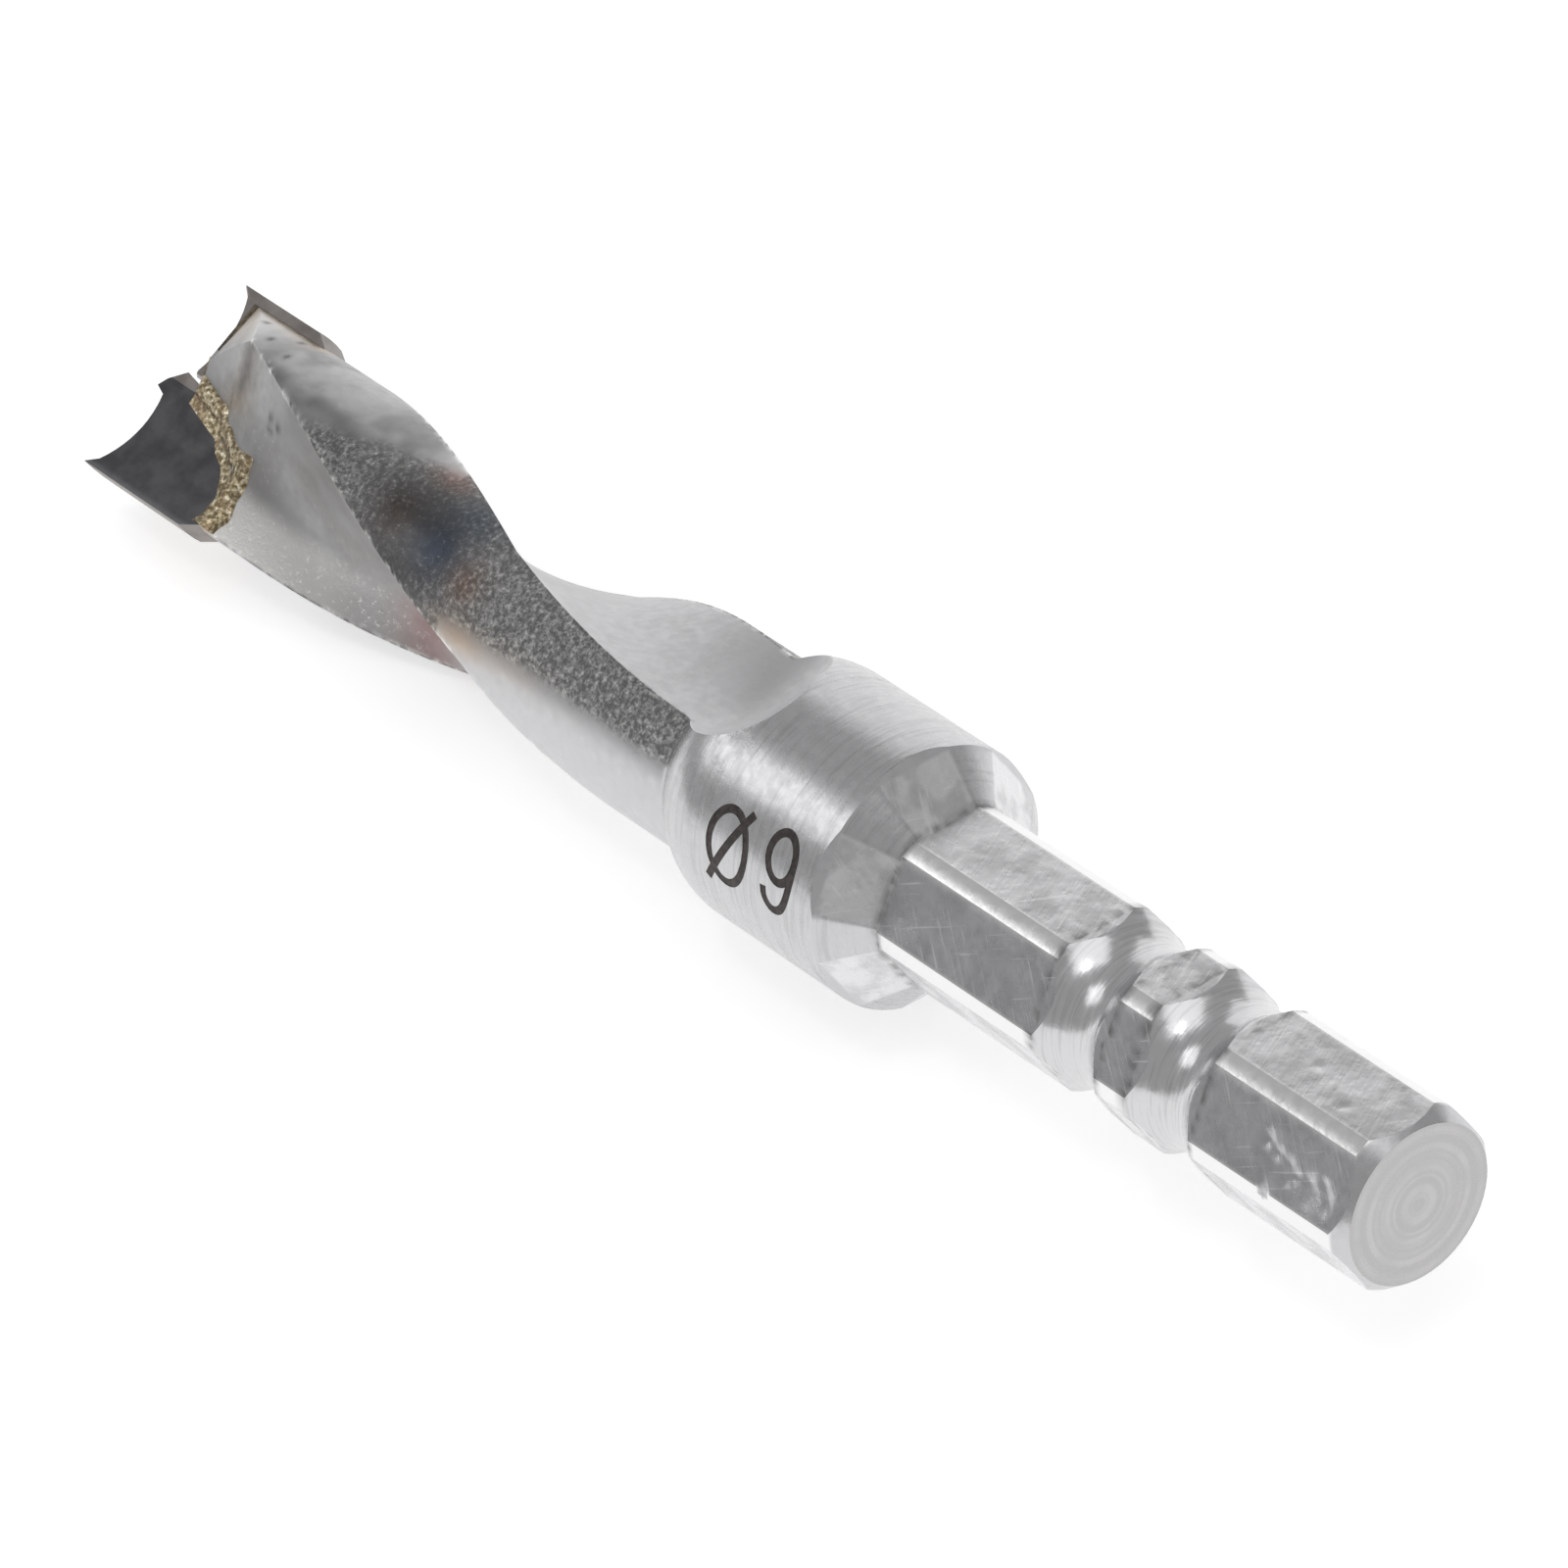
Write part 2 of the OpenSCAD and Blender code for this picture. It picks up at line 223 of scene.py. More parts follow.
def rise(x):
    """How far the flute's section has moved out from the axis: a slope, then a growing square."""
    return RISE_SLOPE * max(0.0, RISE_X - x) + LIFT_GROWTH * max(0.0, LIFT_X - x) ** 2


def middle(x):
    """Angle of the first flute's middle, from the plate's direction, in degrees."""
    back = max(0.0, EASING_X - x)
    return FLUTE_ANGLE / 2 + FLUTE_AHEAD + 360 / PITCH * (x - FOOT_X) + EASING * back ** 2


def polar(r, degrees):
    """A point at radius r and an angle."""
    a = math.radians(degrees)
    return np.array([r * math.cos(a), r * math.sin(a)])


def onward(p, q, length):
    """The point that lies beyond q, seen from p."""
    return q + (q - p) / np.linalg.norm(q - p) * length


def flute_curve(x):
    """The first flute's section at x as a fine line of points, in the plate's frame."""
    s = float(ease((x - FOOT_X + SEAT_BEFORE) / SEAT_OVER))
    up = np.array([rise(x), 0.0])
    m = middle(x)
    lead = turn(polar(BODY_R, -FLUTE_ANGLE / 2) + up, m) * (1 - s)
    lead = lead + np.array([math.sqrt(BODY_R ** 2 - RAKE ** 2), RAKE]) * s
    corner = turn(polar(CORNER_R, CORNER_TURN - FLUTE_ANGLE / 2) + up, m) * (1 - s)
    corner = corner + np.array([np.interp(x, INNER_EDGE[:, 0], INNER_EDGE[:, 1]), RAKE]) * s
    heel = turn(polar(BODY_R, FLUTE_ANGLE / 2) + up, m)
    a, b, c = onward(corner, lead, MOUTH), corner, onward(corner, heel, MOUTH)
    w = FULLNESS * (1 - s) + SEAT_FULLNESS * s
    t = np.linspace(0, 1, CURVE_POINTS)[:, None]
    below = (1 - t) ** 2 + 2 * w * t * (1 - t) + t ** 2
    curve = (a * (1 - t) ** 2 + b * 2 * w * t * (1 - t) + c * t ** 2) / below
    return np.concatenate([[onward(b, a, PAST_MOUTH)], curve, [onward(b, c, PAST_MOUTH)]])


print("flute middle at the foot:", round(middle(FOOT_X), 1), "degrees; rise at 33 mm:", round(rise(33.0), 2))

# %% [markdown]
# Each ring is the part of that curve inside the blank's circle, then the land's arc, and the same
# again half a turn on. The points along the curve lie closer where it bends, by a share of the
# bending added to their distance.

# %% Sections with two flutes
FLUTE_POINTS, LAND_POINTS = 64, 35
BEND_WEIGHT = 0.6


def spaced(line):
    """The line again with `FLUTE_POINTS` equal steps, where bends count as extra length."""
    step = np.hypot(*np.diff(line, axis=0).T)
    bend = np.abs(np.diff(np.unwrap(np.arctan2(*np.diff(line, axis=0).T[::-1]))))
    along = np.concatenate([[0], np.cumsum(step + BEND_WEIGHT * np.concatenate([[0], bend]))])
    want = np.linspace(0, along[-1], FLUTE_POINTS + 1)
    return np.stack([np.interp(want, along, line[:, 0]), np.interp(want, along, line[:, 1])], -1)


def flute_ring(x):
    """(angles, radii) of one ring round the fluted end, angles increasing from the first leading edge."""
    r = float(blank_radius(x))
    p = flute_curve(x)
    rad = np.hypot(p[:, 0], p[:, 1])
    inside = np.nonzero(rad < r)[0]
    if len(inside) < 2:
        k = int(np.argmin(rad))
        cut = np.tile(p[k] / rad[k] * r, (FLUTE_POINTS + 1, 1))
    else:
        i, j = inside[0], inside[-1]
        start = p[i - 1] + (p[i] - p[i - 1]) * (r - rad[i - 1]) / (rad[i] - rad[i - 1])
        end = p[j] + (p[j + 1] - p[j]) * (r - rad[j]) / (rad[j + 1] - rad[j])
        cut = spaced(np.concatenate([[start], p[i:j + 1], [end]]))
    angle = np.unwrap(np.arctan2(cut[:, 1], cut[:, 0]))
    land = np.linspace(angle[-1], angle[0] + math.pi, LAND_POINTS, endpoint=False)
    half = np.concatenate([angle[:-1], land])
    radii = np.concatenate([np.hypot(*cut[:-1].T), np.full(LAND_POINTS, r)])
    return np.concatenate([half, half + math.pi]) + math.radians(PLATE_TURN), np.tile(radii, 2)


print("points in a fluted ring:", 2 * (FLUTE_POINTS + LAND_POINTS))

# %% [markdown]
# ## One closed grid
#
# The rings of the shank and of the fluted end have the same number of points. On the plain collar
# both are circles, so their angles blend there without changing the surface. The rings stand close
# where the surface turns quickly and where dents and the size mark need small faces.

# %% Distances of the rings
BLEND_A, BLEND_B = 27.2, 31.2
EDGE_STEP = 0.04


def stations():
    """Distances of all rings along the bit."""
    parts = [
        np.array([0.0, 0.03]),
        np.linspace(0.1, CHAMFER, 6),
        np.array([CHAMFER + 0.03]),
        np.linspace(0.7, 5.5, 49),
        np.linspace(5.9, 7.6, 4),
    ]
    for g in GROOVES:
        wide = float(arc_height(GROOVE_R, GROOVE_FLOOR_R + GROOVE_R - SHANK_R))
        parts += [np.linspace(g - wide, g + wide, 41), np.array([g - wide - EDGE_STEP, g + wide + EDGE_STEP])]
    parts += [
        np.linspace(11.8, 12.5, 3),
        np.linspace(16.7, 24.4, 14),
        np.array([HEX_LENGTH]),
        np.linspace(CONE_X, COLLAR_BACK, 19),
        np.linspace(COLLAR_BACK + EDGE_STEP, BLEND_A - 0.1, 18),
        np.linspace(BLEND_A, BLEND_B, 21),
        np.linspace(BLEND_B + 0.1, 37.3, 101),
        np.linspace(37.5, 64.0, 130),
        np.linspace(64.15, 67.0, 24),
        np.linspace(67.15, 72.6, 34),
    ]
    return np.unique(np.round(np.concatenate(parts), 4))


xs = stations()
print("rings:", len(xs))

# %% [markdown]
# The two kinds of ring start at different places, so the shank's ring is first turned on by whole
# points until it fits the fluted one best. Then the blend moves no point far.

# %% Angles and radii of the whole grid
flute_at = flute_ring(BLEND_B)[0]
hex_at = hex_ring(BLEND_A)[0]
shift = min(range(RING), key=lambda k: np.abs(np.angle(np.exp(1j * (np.roll(hex_at, -k) - flute_at)))).sum())


def matched_hex(x):
    """A ring of the shank, started at the point that meets the fluted end's first point."""
    a, r = hex_ring(x)
    a = np.concatenate([a[shift:], a[:shift] + 2 * math.pi])
    a = a + 2 * math.pi * round((flute_at.mean() - a.mean()) / (2 * math.pi))
    return a, np.roll(r, -shift)


angles = np.empty((len(xs), RING))
radii = np.empty((len(xs), RING))
for k, x in enumerate(xs):
    if x <= BLEND_A:
        angles[k], radii[k] = matched_hex(x)
    elif x >= BLEND_B:
        angles[k], radii[k] = flute_ring(x)
    else:
        t = float(ease((x - BLEND_A) / (BLEND_B - BLEND_A)))
        angles[k] = matched_hex(BLEND_A)[0] * (1 - t) + flute_at * t
        radii[k] = blank_radius(x)
fluted_rings = xs >= BLEND_B
angles[fluted_rings] = np.unwrap(angles[fluted_rings], axis=0)
print("shank's rings start", shift, "points on")

# %% [markdown]
# ## Dents
#
# One flat is battered near the shank's end, as if a chuck had slipped there. Each dent is a bell-shaped
# hollow: the radius loses depth * exp(-d^2 / width^2), with d the distance from the dent's middle.
# Angles in this list, as in all the painting below, are those of the photograph's level view, from
# which the bit is turned by `LIE` about its axis to the way it rests.

# %% Dents in the shank
LIE = 20.0
DENTS = np.array([  # x, angle, width, depth
    [4.5, 153, 0.30, 0.105], [3.9, 157, 0.26, 0.09], [3.3, 160, 0.30, 0.105], [2.8, 164, 0.24, 0.09],
    [2.2, 163, 0.32, 0.12], [1.7, 167, 0.26, 0.09], [1.2, 165, 0.30, 0.105], [1.1, 171, 0.24, 0.09],
    [2.0, 172, 0.28, 0.09], [3.1, 169, 0.25, 0.075], [4.0, 182, 0.22, 0.075], [1.5, 158, 0.22, 0.075],
    [2.6, 111, 0.20, 0.045], [4.9, 96, 0.22, 0.045],
])


def dented(x, angle, radius):
    """The radii less each dent's hollow."""
    for at, degrees, wide, deep in DENTS:
        aside = (math.pi - angle + math.radians(LIE - degrees) + math.pi) % (2 * math.pi) - math.pi
        radius = radius - deep * np.exp(-((x[:, None] - at) ** 2 + (aside * radius) ** 2) / wide ** 2)
    return radius


radii = dented(xs, angles, radii)
print("dents:", len(DENTS))

# %% [markdown]
# A grid of rings becomes a closed mesh once each end has a middle point. The points are held inside
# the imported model's box, apart from the far end, which is cut off below.

# %% The steel body's mesh
box_low, box_high = np.array(cad_box[0]), np.array(cad_box[1]) + [0.01, 0, 0]


def closed_grid(name, x, angle, radius):
    """A closed mesh from rings: point (x, r cos a, r sin a), with a middle point at each end."""
    rings, count = angle.shape
    xx = np.repeat(x[:, None], count, 1)
    points = np.stack([xx, radius * np.cos(angle), radius * np.sin(angle)], -1).reshape(-1, 3)
    ends = np.array([[x[0], 0, 0], [x[-1], 0, 0]])
    points = np.clip(np.concatenate([points, ends]) * MM, box_low, box_high)
    i = np.arange(count)
    j = (i + 1) % count
    base = (np.arange(rings - 1) * count)[:, None]
    quads = np.stack([base + i, base + j, base + count + j, base + count + i], -1).reshape(-1, 4)
    first = np.stack([np.full(count, rings * count), j, i], -1)
    last = np.stack([np.full(count, rings * count + 1), (rings - 1) * count + i, (rings - 1) * count + j], -1)
    mesh = bpy.data.meshes.new(name)
    mesh.from_pydata(points.tolist(), [], quads.tolist() + first.tolist() + last.tolist())
    mesh.validate()
    mesh.update()
    return mesh


steel_mesh = closed_grid("steel_visual", xs, angles, radii)
print("faces:", len(steel_mesh.polygons))

# %% [markdown]
# ## Cutting the tip end
#
# The grid runs past the tip, because a plate's seat has sharp inner corners that a grid of rings
# can't follow. Booleans cut them instead. Three kinds of cutter shape the end: a flat across the axis,
# a steep slope behind each plate, and the seat of each plate. All are prisms in the plate's frame,
# turned by half a turn more for the second side.

# %% Prisms and booleans
FAR = 12.0


def placed(points, side):
    """Points (x, along the edge, out of the face) in the plate's frame, turned into the bit's frame."""
    p = np.asarray(points, float)
    return np.concatenate([p[..., :1], turn(p[..., 1:], PLATE_TURN + 180 * side)], -1)


def outward(mesh):
    """Turns a closed mesh's faces so that they point outward."""
    bm = bmesh.new()
    bm.from_mesh(mesh)
    bmesh.ops.recalc_face_normals(bm, faces=bm.faces)
    bm.to_mesh(mesh)
    bm.free()
    return mesh


def prism(outline, low, high, put):
    """A closed prism mesh: the outline at two heights, each point placed by put(outline, height)."""
    n = len(outline)
    points = np.concatenate([put(outline, low), put(outline, high)]) * MM
    sides = [[k, (k + 1) % n, n + (k + 1) % n, n + k] for k in range(n)]
    mesh = bpy.data.meshes.new("cutter")
    mesh.from_pydata(points.tolist(), [], [list(range(n))[::-1], list(range(n, 2 * n))] + sides)
    mesh.update()
    return outward(mesh)


def boolean(mesh, other, operation):
    """The mesh after one boolean with another closed mesh."""
    a = bpy.data.objects.new("boolean_a", mesh)
    b = bpy.data.objects.new("boolean_b", other)
    for o in (a, b):
        bpy.context.scene.collection.objects.link(o)
    m = a.modifiers.new("b", "BOOLEAN")
    m.object, m.operation, m.solver = b, operation, "MANIFOLD"
    bpy.context.view_layer.update()
    result = bpy.data.meshes.new_from_object(a.evaluated_get(bpy.context.evaluated_depsgraph_get()))
    for o in (a, b):
        bpy.data.objects.remove(o)
    return result


print("cutters reach", FAR, "mm from the axis")

# %% [markdown]
# The roof cutter is a plain block past `END_TOP`. The slope cutter leans back by the steel's relief
# angle, so that the steel never rubs on the floor of the hole.

# %% The tip's end and its slopes
BEYOND = TOTAL + 8


def across(outline, z):
    """Puts an outline (x, y) at a height z, for a cutter that isn't turned."""
    return np.stack([outline[:, 0], outline[:, 1], np.full(len(outline), z)], -1)


def slope_cutter(side):
    """The space behind a plate, above the steel's end slope."""
    back = -FAR * math.tan(math.radians(STEEL_RELIEF))
    outline = np.array([[0, 0], [back, -FAR], [FAR, -FAR], [FAR, 0]])

    def put(o, y):
        xy = turn(np.stack([o[:, 0], np.full(len(o), y)], -1), END_TILT)
        return placed(np.stack([xy[:, 0] + END_TOP, xy[:, 1], o[:, 1] + RAKE_BACK - GAP], -1), side)

    return prism(outline, -FAR, FAR, put)


roof = prism(np.array([[END_TOP, -FAR], [BEYOND, -FAR], [BEYOND, FAR], [END_TOP, FAR]]), -FAR, FAR, across)
steel_mesh = boolean(steel_mesh, roof, "DIFFERENCE")
print("steel's end at", round(END_TOP, 2))

# %% [markdown]
# A seat is the common space of two prisms. One has the plate's outline and is raised along the face's
# normal; the other has the plate's section and runs along the bit. What the steel loses there, up to
# just under the cutting face, is kept: it is the braze layer under and beside the plate.

# %% The plates' seats
def plate_outline(grow):
    """The plate's outline seen from its face, grown by the braze gap at its foot and inner edge."""
    edge = INNER_EDGE - [0, grow]
    edge[0, 0] -= grow
    inner = edge[-1, 1]
    return np.concatenate([[[FOOT_X - grow, FAR]], edge, [[TOTAL + 1, inner], [TOTAL + 1, FAR]]])


SEAT_FROM = 60.0
OVER_FACE, UNDER_FACE = 0.25, 0.02


def seat_cutter(side, top):
    """The plate's seat, up to a height in the plate's frame."""
    flat = prism(plate_outline(GAP), RAKE_BACK - GAP, top,
                 lambda o, n: placed(np.stack([o[:, 0], o[:, 1], np.full(len(o), n)], -1), side))
    section = np.array([
        [-FAR, RAKE + 1], [FAR, RAKE + 1], [FAR, RAKE_BACK - GAP],
        [THICK_FROM - GAP / 2, RAKE_BACK - GAP], [THIN_TO - GAP / 2, -RAKE - GAP], [-FAR, -RAKE - GAP],
    ])
    along = prism(section, SEAT_FROM, TOTAL + 2,
                  lambda o, x: placed(np.stack([np.full(len(o), x), o[:, 0], o[:, 1]], -1), side))
    return boolean(flat, along, "INTERSECT")


layers = []
for side in (0, 1):
    steel_mesh = boolean(steel_mesh, slope_cutter(side), "DIFFERENCE")
    layers.append(boolean(steel_mesh, seat_cutter(side, RAKE - UNDER_FACE), "INTERSECT"))
    steel_mesh = boolean(steel_mesh, seat_cutter(side, RAKE + OVER_FACE), "DIFFERENCE")
print("steel faces:", len(steel_mesh.polygons))

# %% [markdown]
# ## Size mark
#
# The collar carries the cutting diameter as a plain mark, burnt into the steel. It is real geometry,
# sunk by `MARK_DEPTH`, so that it shows in any light. Each stroke follows a path (x, s) on the
# unrolled collar, where s is the arc length, and is cut out as a closed bar. A point of the path sits
# at the angle `MARK_FROM` + s / r round the axis.

# %% Strokes cut into the collar
MARK_DEPTH, STROKE, STROKE_TOP = 0.02, 0.33, 0.3
MARK_FROM = math.radians(120 - LIE)


def on_collar(path, r):
    """Points of the unrolled collar at radius r."""
    a = MARK_FROM + path[:, 1] / COLLAR_R
    return np.stack([path[:, 0], -r * np.cos(a), r * np.sin(a)], -1)


def stroke(path, closed):
    """A closed bar of square section along a path, from below the collar's surface to above it."""
    p = np.asarray(path, float)
    d = np.roll(p, -1, 0) - np.roll(p, 1, 0) if closed else np.gradient(p, axis=0)
    d = d / np.linalg.norm(d, axis=1)[:, None]
    side = np.stack([-d[:, 1], d[:, 0]], -1) * STROKE / 2
    low, high = COLLAR_R - MARK_DEPTH, COLLAR_R + STROKE_TOP
    corners = ((p - side, low), (p + side, low), (p + side, high), (p - side, high))
    section = [on_collar(q, r) for q, r in corners]
    n = len(p)
    here = np.arange(n if closed else n - 1)[:, None]
    i, j = np.arange(4), np.roll(np.arange(4), -1)
    ahead = (here + 1) % n * 4
    quads = np.stack([here * 4 + i, here * 4 + j, ahead + j, ahead + i], -1).reshape(-1, 4).tolist()
    ends = [] if closed else [[3, 2, 1, 0], [4 * n - 4, 4 * n - 3, 4 * n - 2, 4 * n - 1]]
    mesh = bpy.data.meshes.new("stroke")
    mesh.from_pydata((np.stack(section, 1).reshape(-1, 3) * MM).tolist(), [], quads + ends)
    mesh.update()
    return outward(mesh)


print("strokes", STROKE, "wide and", MARK_DEPTH, "deep")

# %% [markdown]
# The sign is a ring with a slash. The figure is a bowl with a tail, whose few corner points are cut
# down to a smooth curve.

# %% The sign and the figure
def ellipse(x, s, half_x, half_s, count=72):
    """Points of an ellipse round (x, s)."""
    t = np.linspace(0, 2 * math.pi, count, endpoint=False)
    return np.stack([x + half_x * np.cos(t), s + half_s * np.sin(t)], -1)


def rounded(points, rounds=3):
    """The path with its corners cut at a quarter and three quarters of each side, ends kept."""
    p = np.asarray(points, float)
    for _ in range(rounds):
        q = np.stack([p[:-1] * 0.75 + p[1:] * 0.25, p[:-1] * 0.25 + p[1:] * 0.75], 1).reshape(-1, 2)
        p = np.concatenate([p[:1], q, p[-1:]])
    return p


sign_ring = ellipse(31.175, 4.49, 1.0, 1.41)
slash = np.linspace([30.22, 2.83], [32.2, 6.17], 24)
bowl = ellipse(28.325, 3.63, 0.68, 0.93)
tail = rounded([
    (27.64, 3.7), (27.66, 4.4), (27.82, 5.15), (28.12, 5.66), (28.62, 5.78), (29.0, 5.42), (29.06, 5.0),
])
for path, closed in ((sign_ring, True), (slash, False), (bowl, True), (tail, False)):
    steel_mesh = boolean(steel_mesh, stroke(path, closed), "DIFFERENCE")
print("steel faces with the mark:", len(steel_mesh.polygons))

# %% [markdown]
# ## Where things are on the steel
#
# Colour and roughness follow the place on the bit. An image texture could hold them, but a value for
# each vertex needs no picture and no unwrapping, and here the mesh is fine enough. For every vertex
# the distance `px` along the axis and the angle `theta` round it are known. Masks then tell the kinds
# of surface apart: flats, corners, grooves, flutes, and the lands, which are still on the blank.

# %% Masks of the kinds of surface
NECK_X, LANDS_END = 35.9, 70
BLANK_MARGIN, FACE_DEPTH = 0.015, 0.02
GROOVE_HALF, FACET_LENGTH = 1.9, 1.6


def coordinates(mesh):
    """The mesh's vertices in millimetres."""
    co = np.empty(len(mesh.vertices) * 3)
    mesh.vertices.foreach_get("co", co)
    return co.reshape(-1, 3) / MM


pos = coordinates(steel_mesh)
px = pos[:, 0]
theta = (np.degrees(np.arctan2(pos[:, 2], -pos[:, 1])) + LIE) % 360
half_turns = [theta, (theta + 180) % 360]
rad = np.hypot(pos[:, 1], pos[:, 2])
on_blank = rad > blank_radius(px) - BLANK_MARGIN
fluted = (px > COLLAR_FRONT) & (px < END_TOP + 0.5)
flute = fluted * (1.0 - on_blank)
land = (on_blank & (px > NECK_X) & (px < LANDS_END)).astype(float)
end_face = (px < FACE_DEPTH).astype(float)
flats = ((px < CONE_X + FACET_LENGTH) & ~on_blank & (px > FACE_DEPTH)).astype(float)
# Mask of the side flat that is painted darker: partly painted shade, partly a bluish oxide tone.
side_flat_shade_and_oxide = ease((theta - 132) / 6) * ease((196 - theta) / 6) * (px < HEX_LENGTH)
in_groove = (np.abs(px - GROOVES[0]) < GROOVE_HALF) | (np.abs(px - GROOVES[1]) < GROOVE_HALF)
grooves = in_groove * on_blank * 1.0
corners = on_blank * (px > CHAMFER) * (px < HEX_LENGTH) * (1 - grooves)
print("vertices:", len(pos), "on lands:", int(land.sum()), "in flutes:", int(flute.sum()))

# %% [markdown]
# ## Soft spots and noise
#
# A tint is a soft spot exp(-d^2) in x and theta, broken up by smooth noise. The noise gives each
# corner of a lattice a random-looking value from a hash of its three whole numbers, and blends the
# eight values round a point.

# %% Spots, noise and mixing
def spot(x, degrees, at, wide):
    """1 at the spot's middle, falling off over wide = (millimetres, degrees)."""
    turn_off = (degrees - at[1] + 180) % 360 - 180
    return np.exp(-((x - at[0]) / wide[0]) ** 2 - (turn_off / wide[1]) ** 2)


def noise3(p, cell, seed):
    """Smooth value noise from 0 to 1 on a lattice of the given cell size."""
    q = p / cell + seed * 17.31
    i = np.floor(q).astype(np.int64)
    f = q - i
    f = f * f * (3 - 2 * f)
    total = np.zeros(len(p))
    for dx in (0, 1):
        for dy in (0, 1):
            for dz in (0, 1):
                h = (i[:, 0] + dx) * 374761393 + (i[:, 1] + dy) * 668265263
                h = h + (i[:, 2] + dz) * 2147483647 + seed * 974711
                h = (h ^ (h >> 13)) * 1274126177 & 0x7FFFFFFF
                value = ((h ^ (h >> 16)) & 0xFFFF) / 65535.0
                w = np.abs(1 - dx - f[:, 0]) * np.abs(1 - dy - f[:, 1]) * np.abs(1 - dz - f[:, 2])
                total += value * w
    return total


def mix(a, b, t):
    """Colours a moved towards colour b by the mask t."""
    return a * (1 - t[:, None]) + np.asarray(b) * t[:, None]


cloud = noise3(pos, 1.9, 11) * 0.6 + noise3(pos, 0.8, 12) * 0.4
speckled = noise3(pos, 0.22, 7)
print("cloud from", cloud.min().round(2), "to", cloud.max().round(2))

# %% [markdown]
# ## Edges of the flutes
#
# Thin lines are painted along each flute's edges: painted highlights where an edge would catch the
# light, and a broken dark line along the leading edge near the shank. The grid's first column runs along
# the leading edge and column `FLUTE_POINTS` along the heel, so a vertex's distance from an edge follows
# from the column's angle in the vertex's own section.

# %% Distance from the edges
EDGE_LINE = 0.11


def edge_distance(column):
    """Straight distance, in its section, from each vertex to one column's edge on either side of the bit."""
    around = np.arctan2(pos[:, 2], pos[:, 1])
    line = np.interp(px, xs[fluted_rings], angles[fluted_rings][:, column])
    apart = np.abs(np.angle(np.exp(2j * (around - line)))) / 2
    return np.sqrt(rad ** 2 + BODY_R ** 2 - 2 * rad * BODY_R * np.cos(apart))


from_lead = edge_distance(0)
edged = (px > NECK_X - 0.5) * fluted
lead_line = edged * np.exp(-(from_lead / EDGE_LINE) ** 2)
heel_line = edged * np.exp(-(edge_distance(FLUTE_POINTS) / EDGE_LINE) ** 2)
near_tip = ease((px - 53) / 5)
low_side = ease((2.5 - from_lead) / 1.2)
print("vertices on edge lines:", int((lead_line + heel_line > 0.5).sum()))

# %% [markdown]
# ## The blasted band and its painted dark reflection
#
# The lands have a band of grainy, blasted steel between two smooth strips, painted dark as a painted
# reflection of dark surroundings. Its upper and lower limits wander a little, and towards the tip it
# narrows along the ridge. The smoke of the brazing covers part of the grain.

# %% Band of blasting
wander = noise3(pos, 1.2, 5)
upper = ease((theta - 84 - 3.0 * (px - 54) - 8 * wander) / 14) * ease((62.5 - px) / 3)
lower = 1 - ease((theta - 156 - 4 * wander) / 5) * (px < 49.5)
blast_and_dark_reflection = land * np.where(px < 53, 1.0, upper) * lower
smoke = sum(spot(px, t, (52.3, 130), (3.0, 38)) for t in half_turns)
print("vertices in the band:", int((blast_and_dark_reflection > 0.5).sum()))

# %% [markdown]
# ## Base colours
#
# The steel starts as one grey. Painted shade dims the inner walls of the flutes near the tip, and a
# painted highlight keeps the wall near the leading edge bright. The shank's side flat is painted darker
# than the others, partly as painted shade and partly as a bluish oxide tone, and its corners are rubbed pale.

# %% Greys of the steel
colour = np.tile([0.58, 0.58, 0.59], (len(pos), 1))
# Mask of the flutes' inner walls near the tip, which get painted shade.
wall = flute * near_tip * (1 - low_side)
patches = ease((cloud - 0.42) / 0.3)
smudges = 0.55 + 0.4 * ease((cloud - 0.38) / 0.24)
for shade, mask in (
    # Painted shade on the flutes' inner walls near the tip.
    ((0.22, 0.215, 0.21), 0.7 * wall * (0.55 + 0.45 * cloud)),
    # Painted highlight low in the flutes, near the leading edge.
    ((0.72, 0.71, 0.69), 0.9 * flute * ease((px - 56) / 4) * low_side),
    ((0.34, 0.33, 0.325), flute * spot(px, theta, (55.5, 225), (3.6, 50)) * (0.45 + 0.5 * cloud)),
    ((0.30, 0.295, 0.29), (0.1 * flute + 0.4 * wall) * patches),
    ((0.24, 0.235, 0.235), land * ease((px - 53) / 3) * ease((68 - px) / 4) * smudges),
    ((0.66, 0.66, 0.67), 0.8 * grooves),
    ((0.76, 0.76, 0.77), flats * (1 - side_flat_shade_and_oxide)),
    # The side flat painted darker: painted shade and a bluish oxide tone.
    ((0.53, 0.53, 0.545), flats * side_flat_shade_and_oxide),
    ((0.88, 0.88, 0.88), 0.9 * corners),
    ((0.47, 0.465, 0.465), end_face),
):
    colour = mix(colour, shade, mask)
print("greys from", colour.min().round(3), "to", colour.max().round(3))
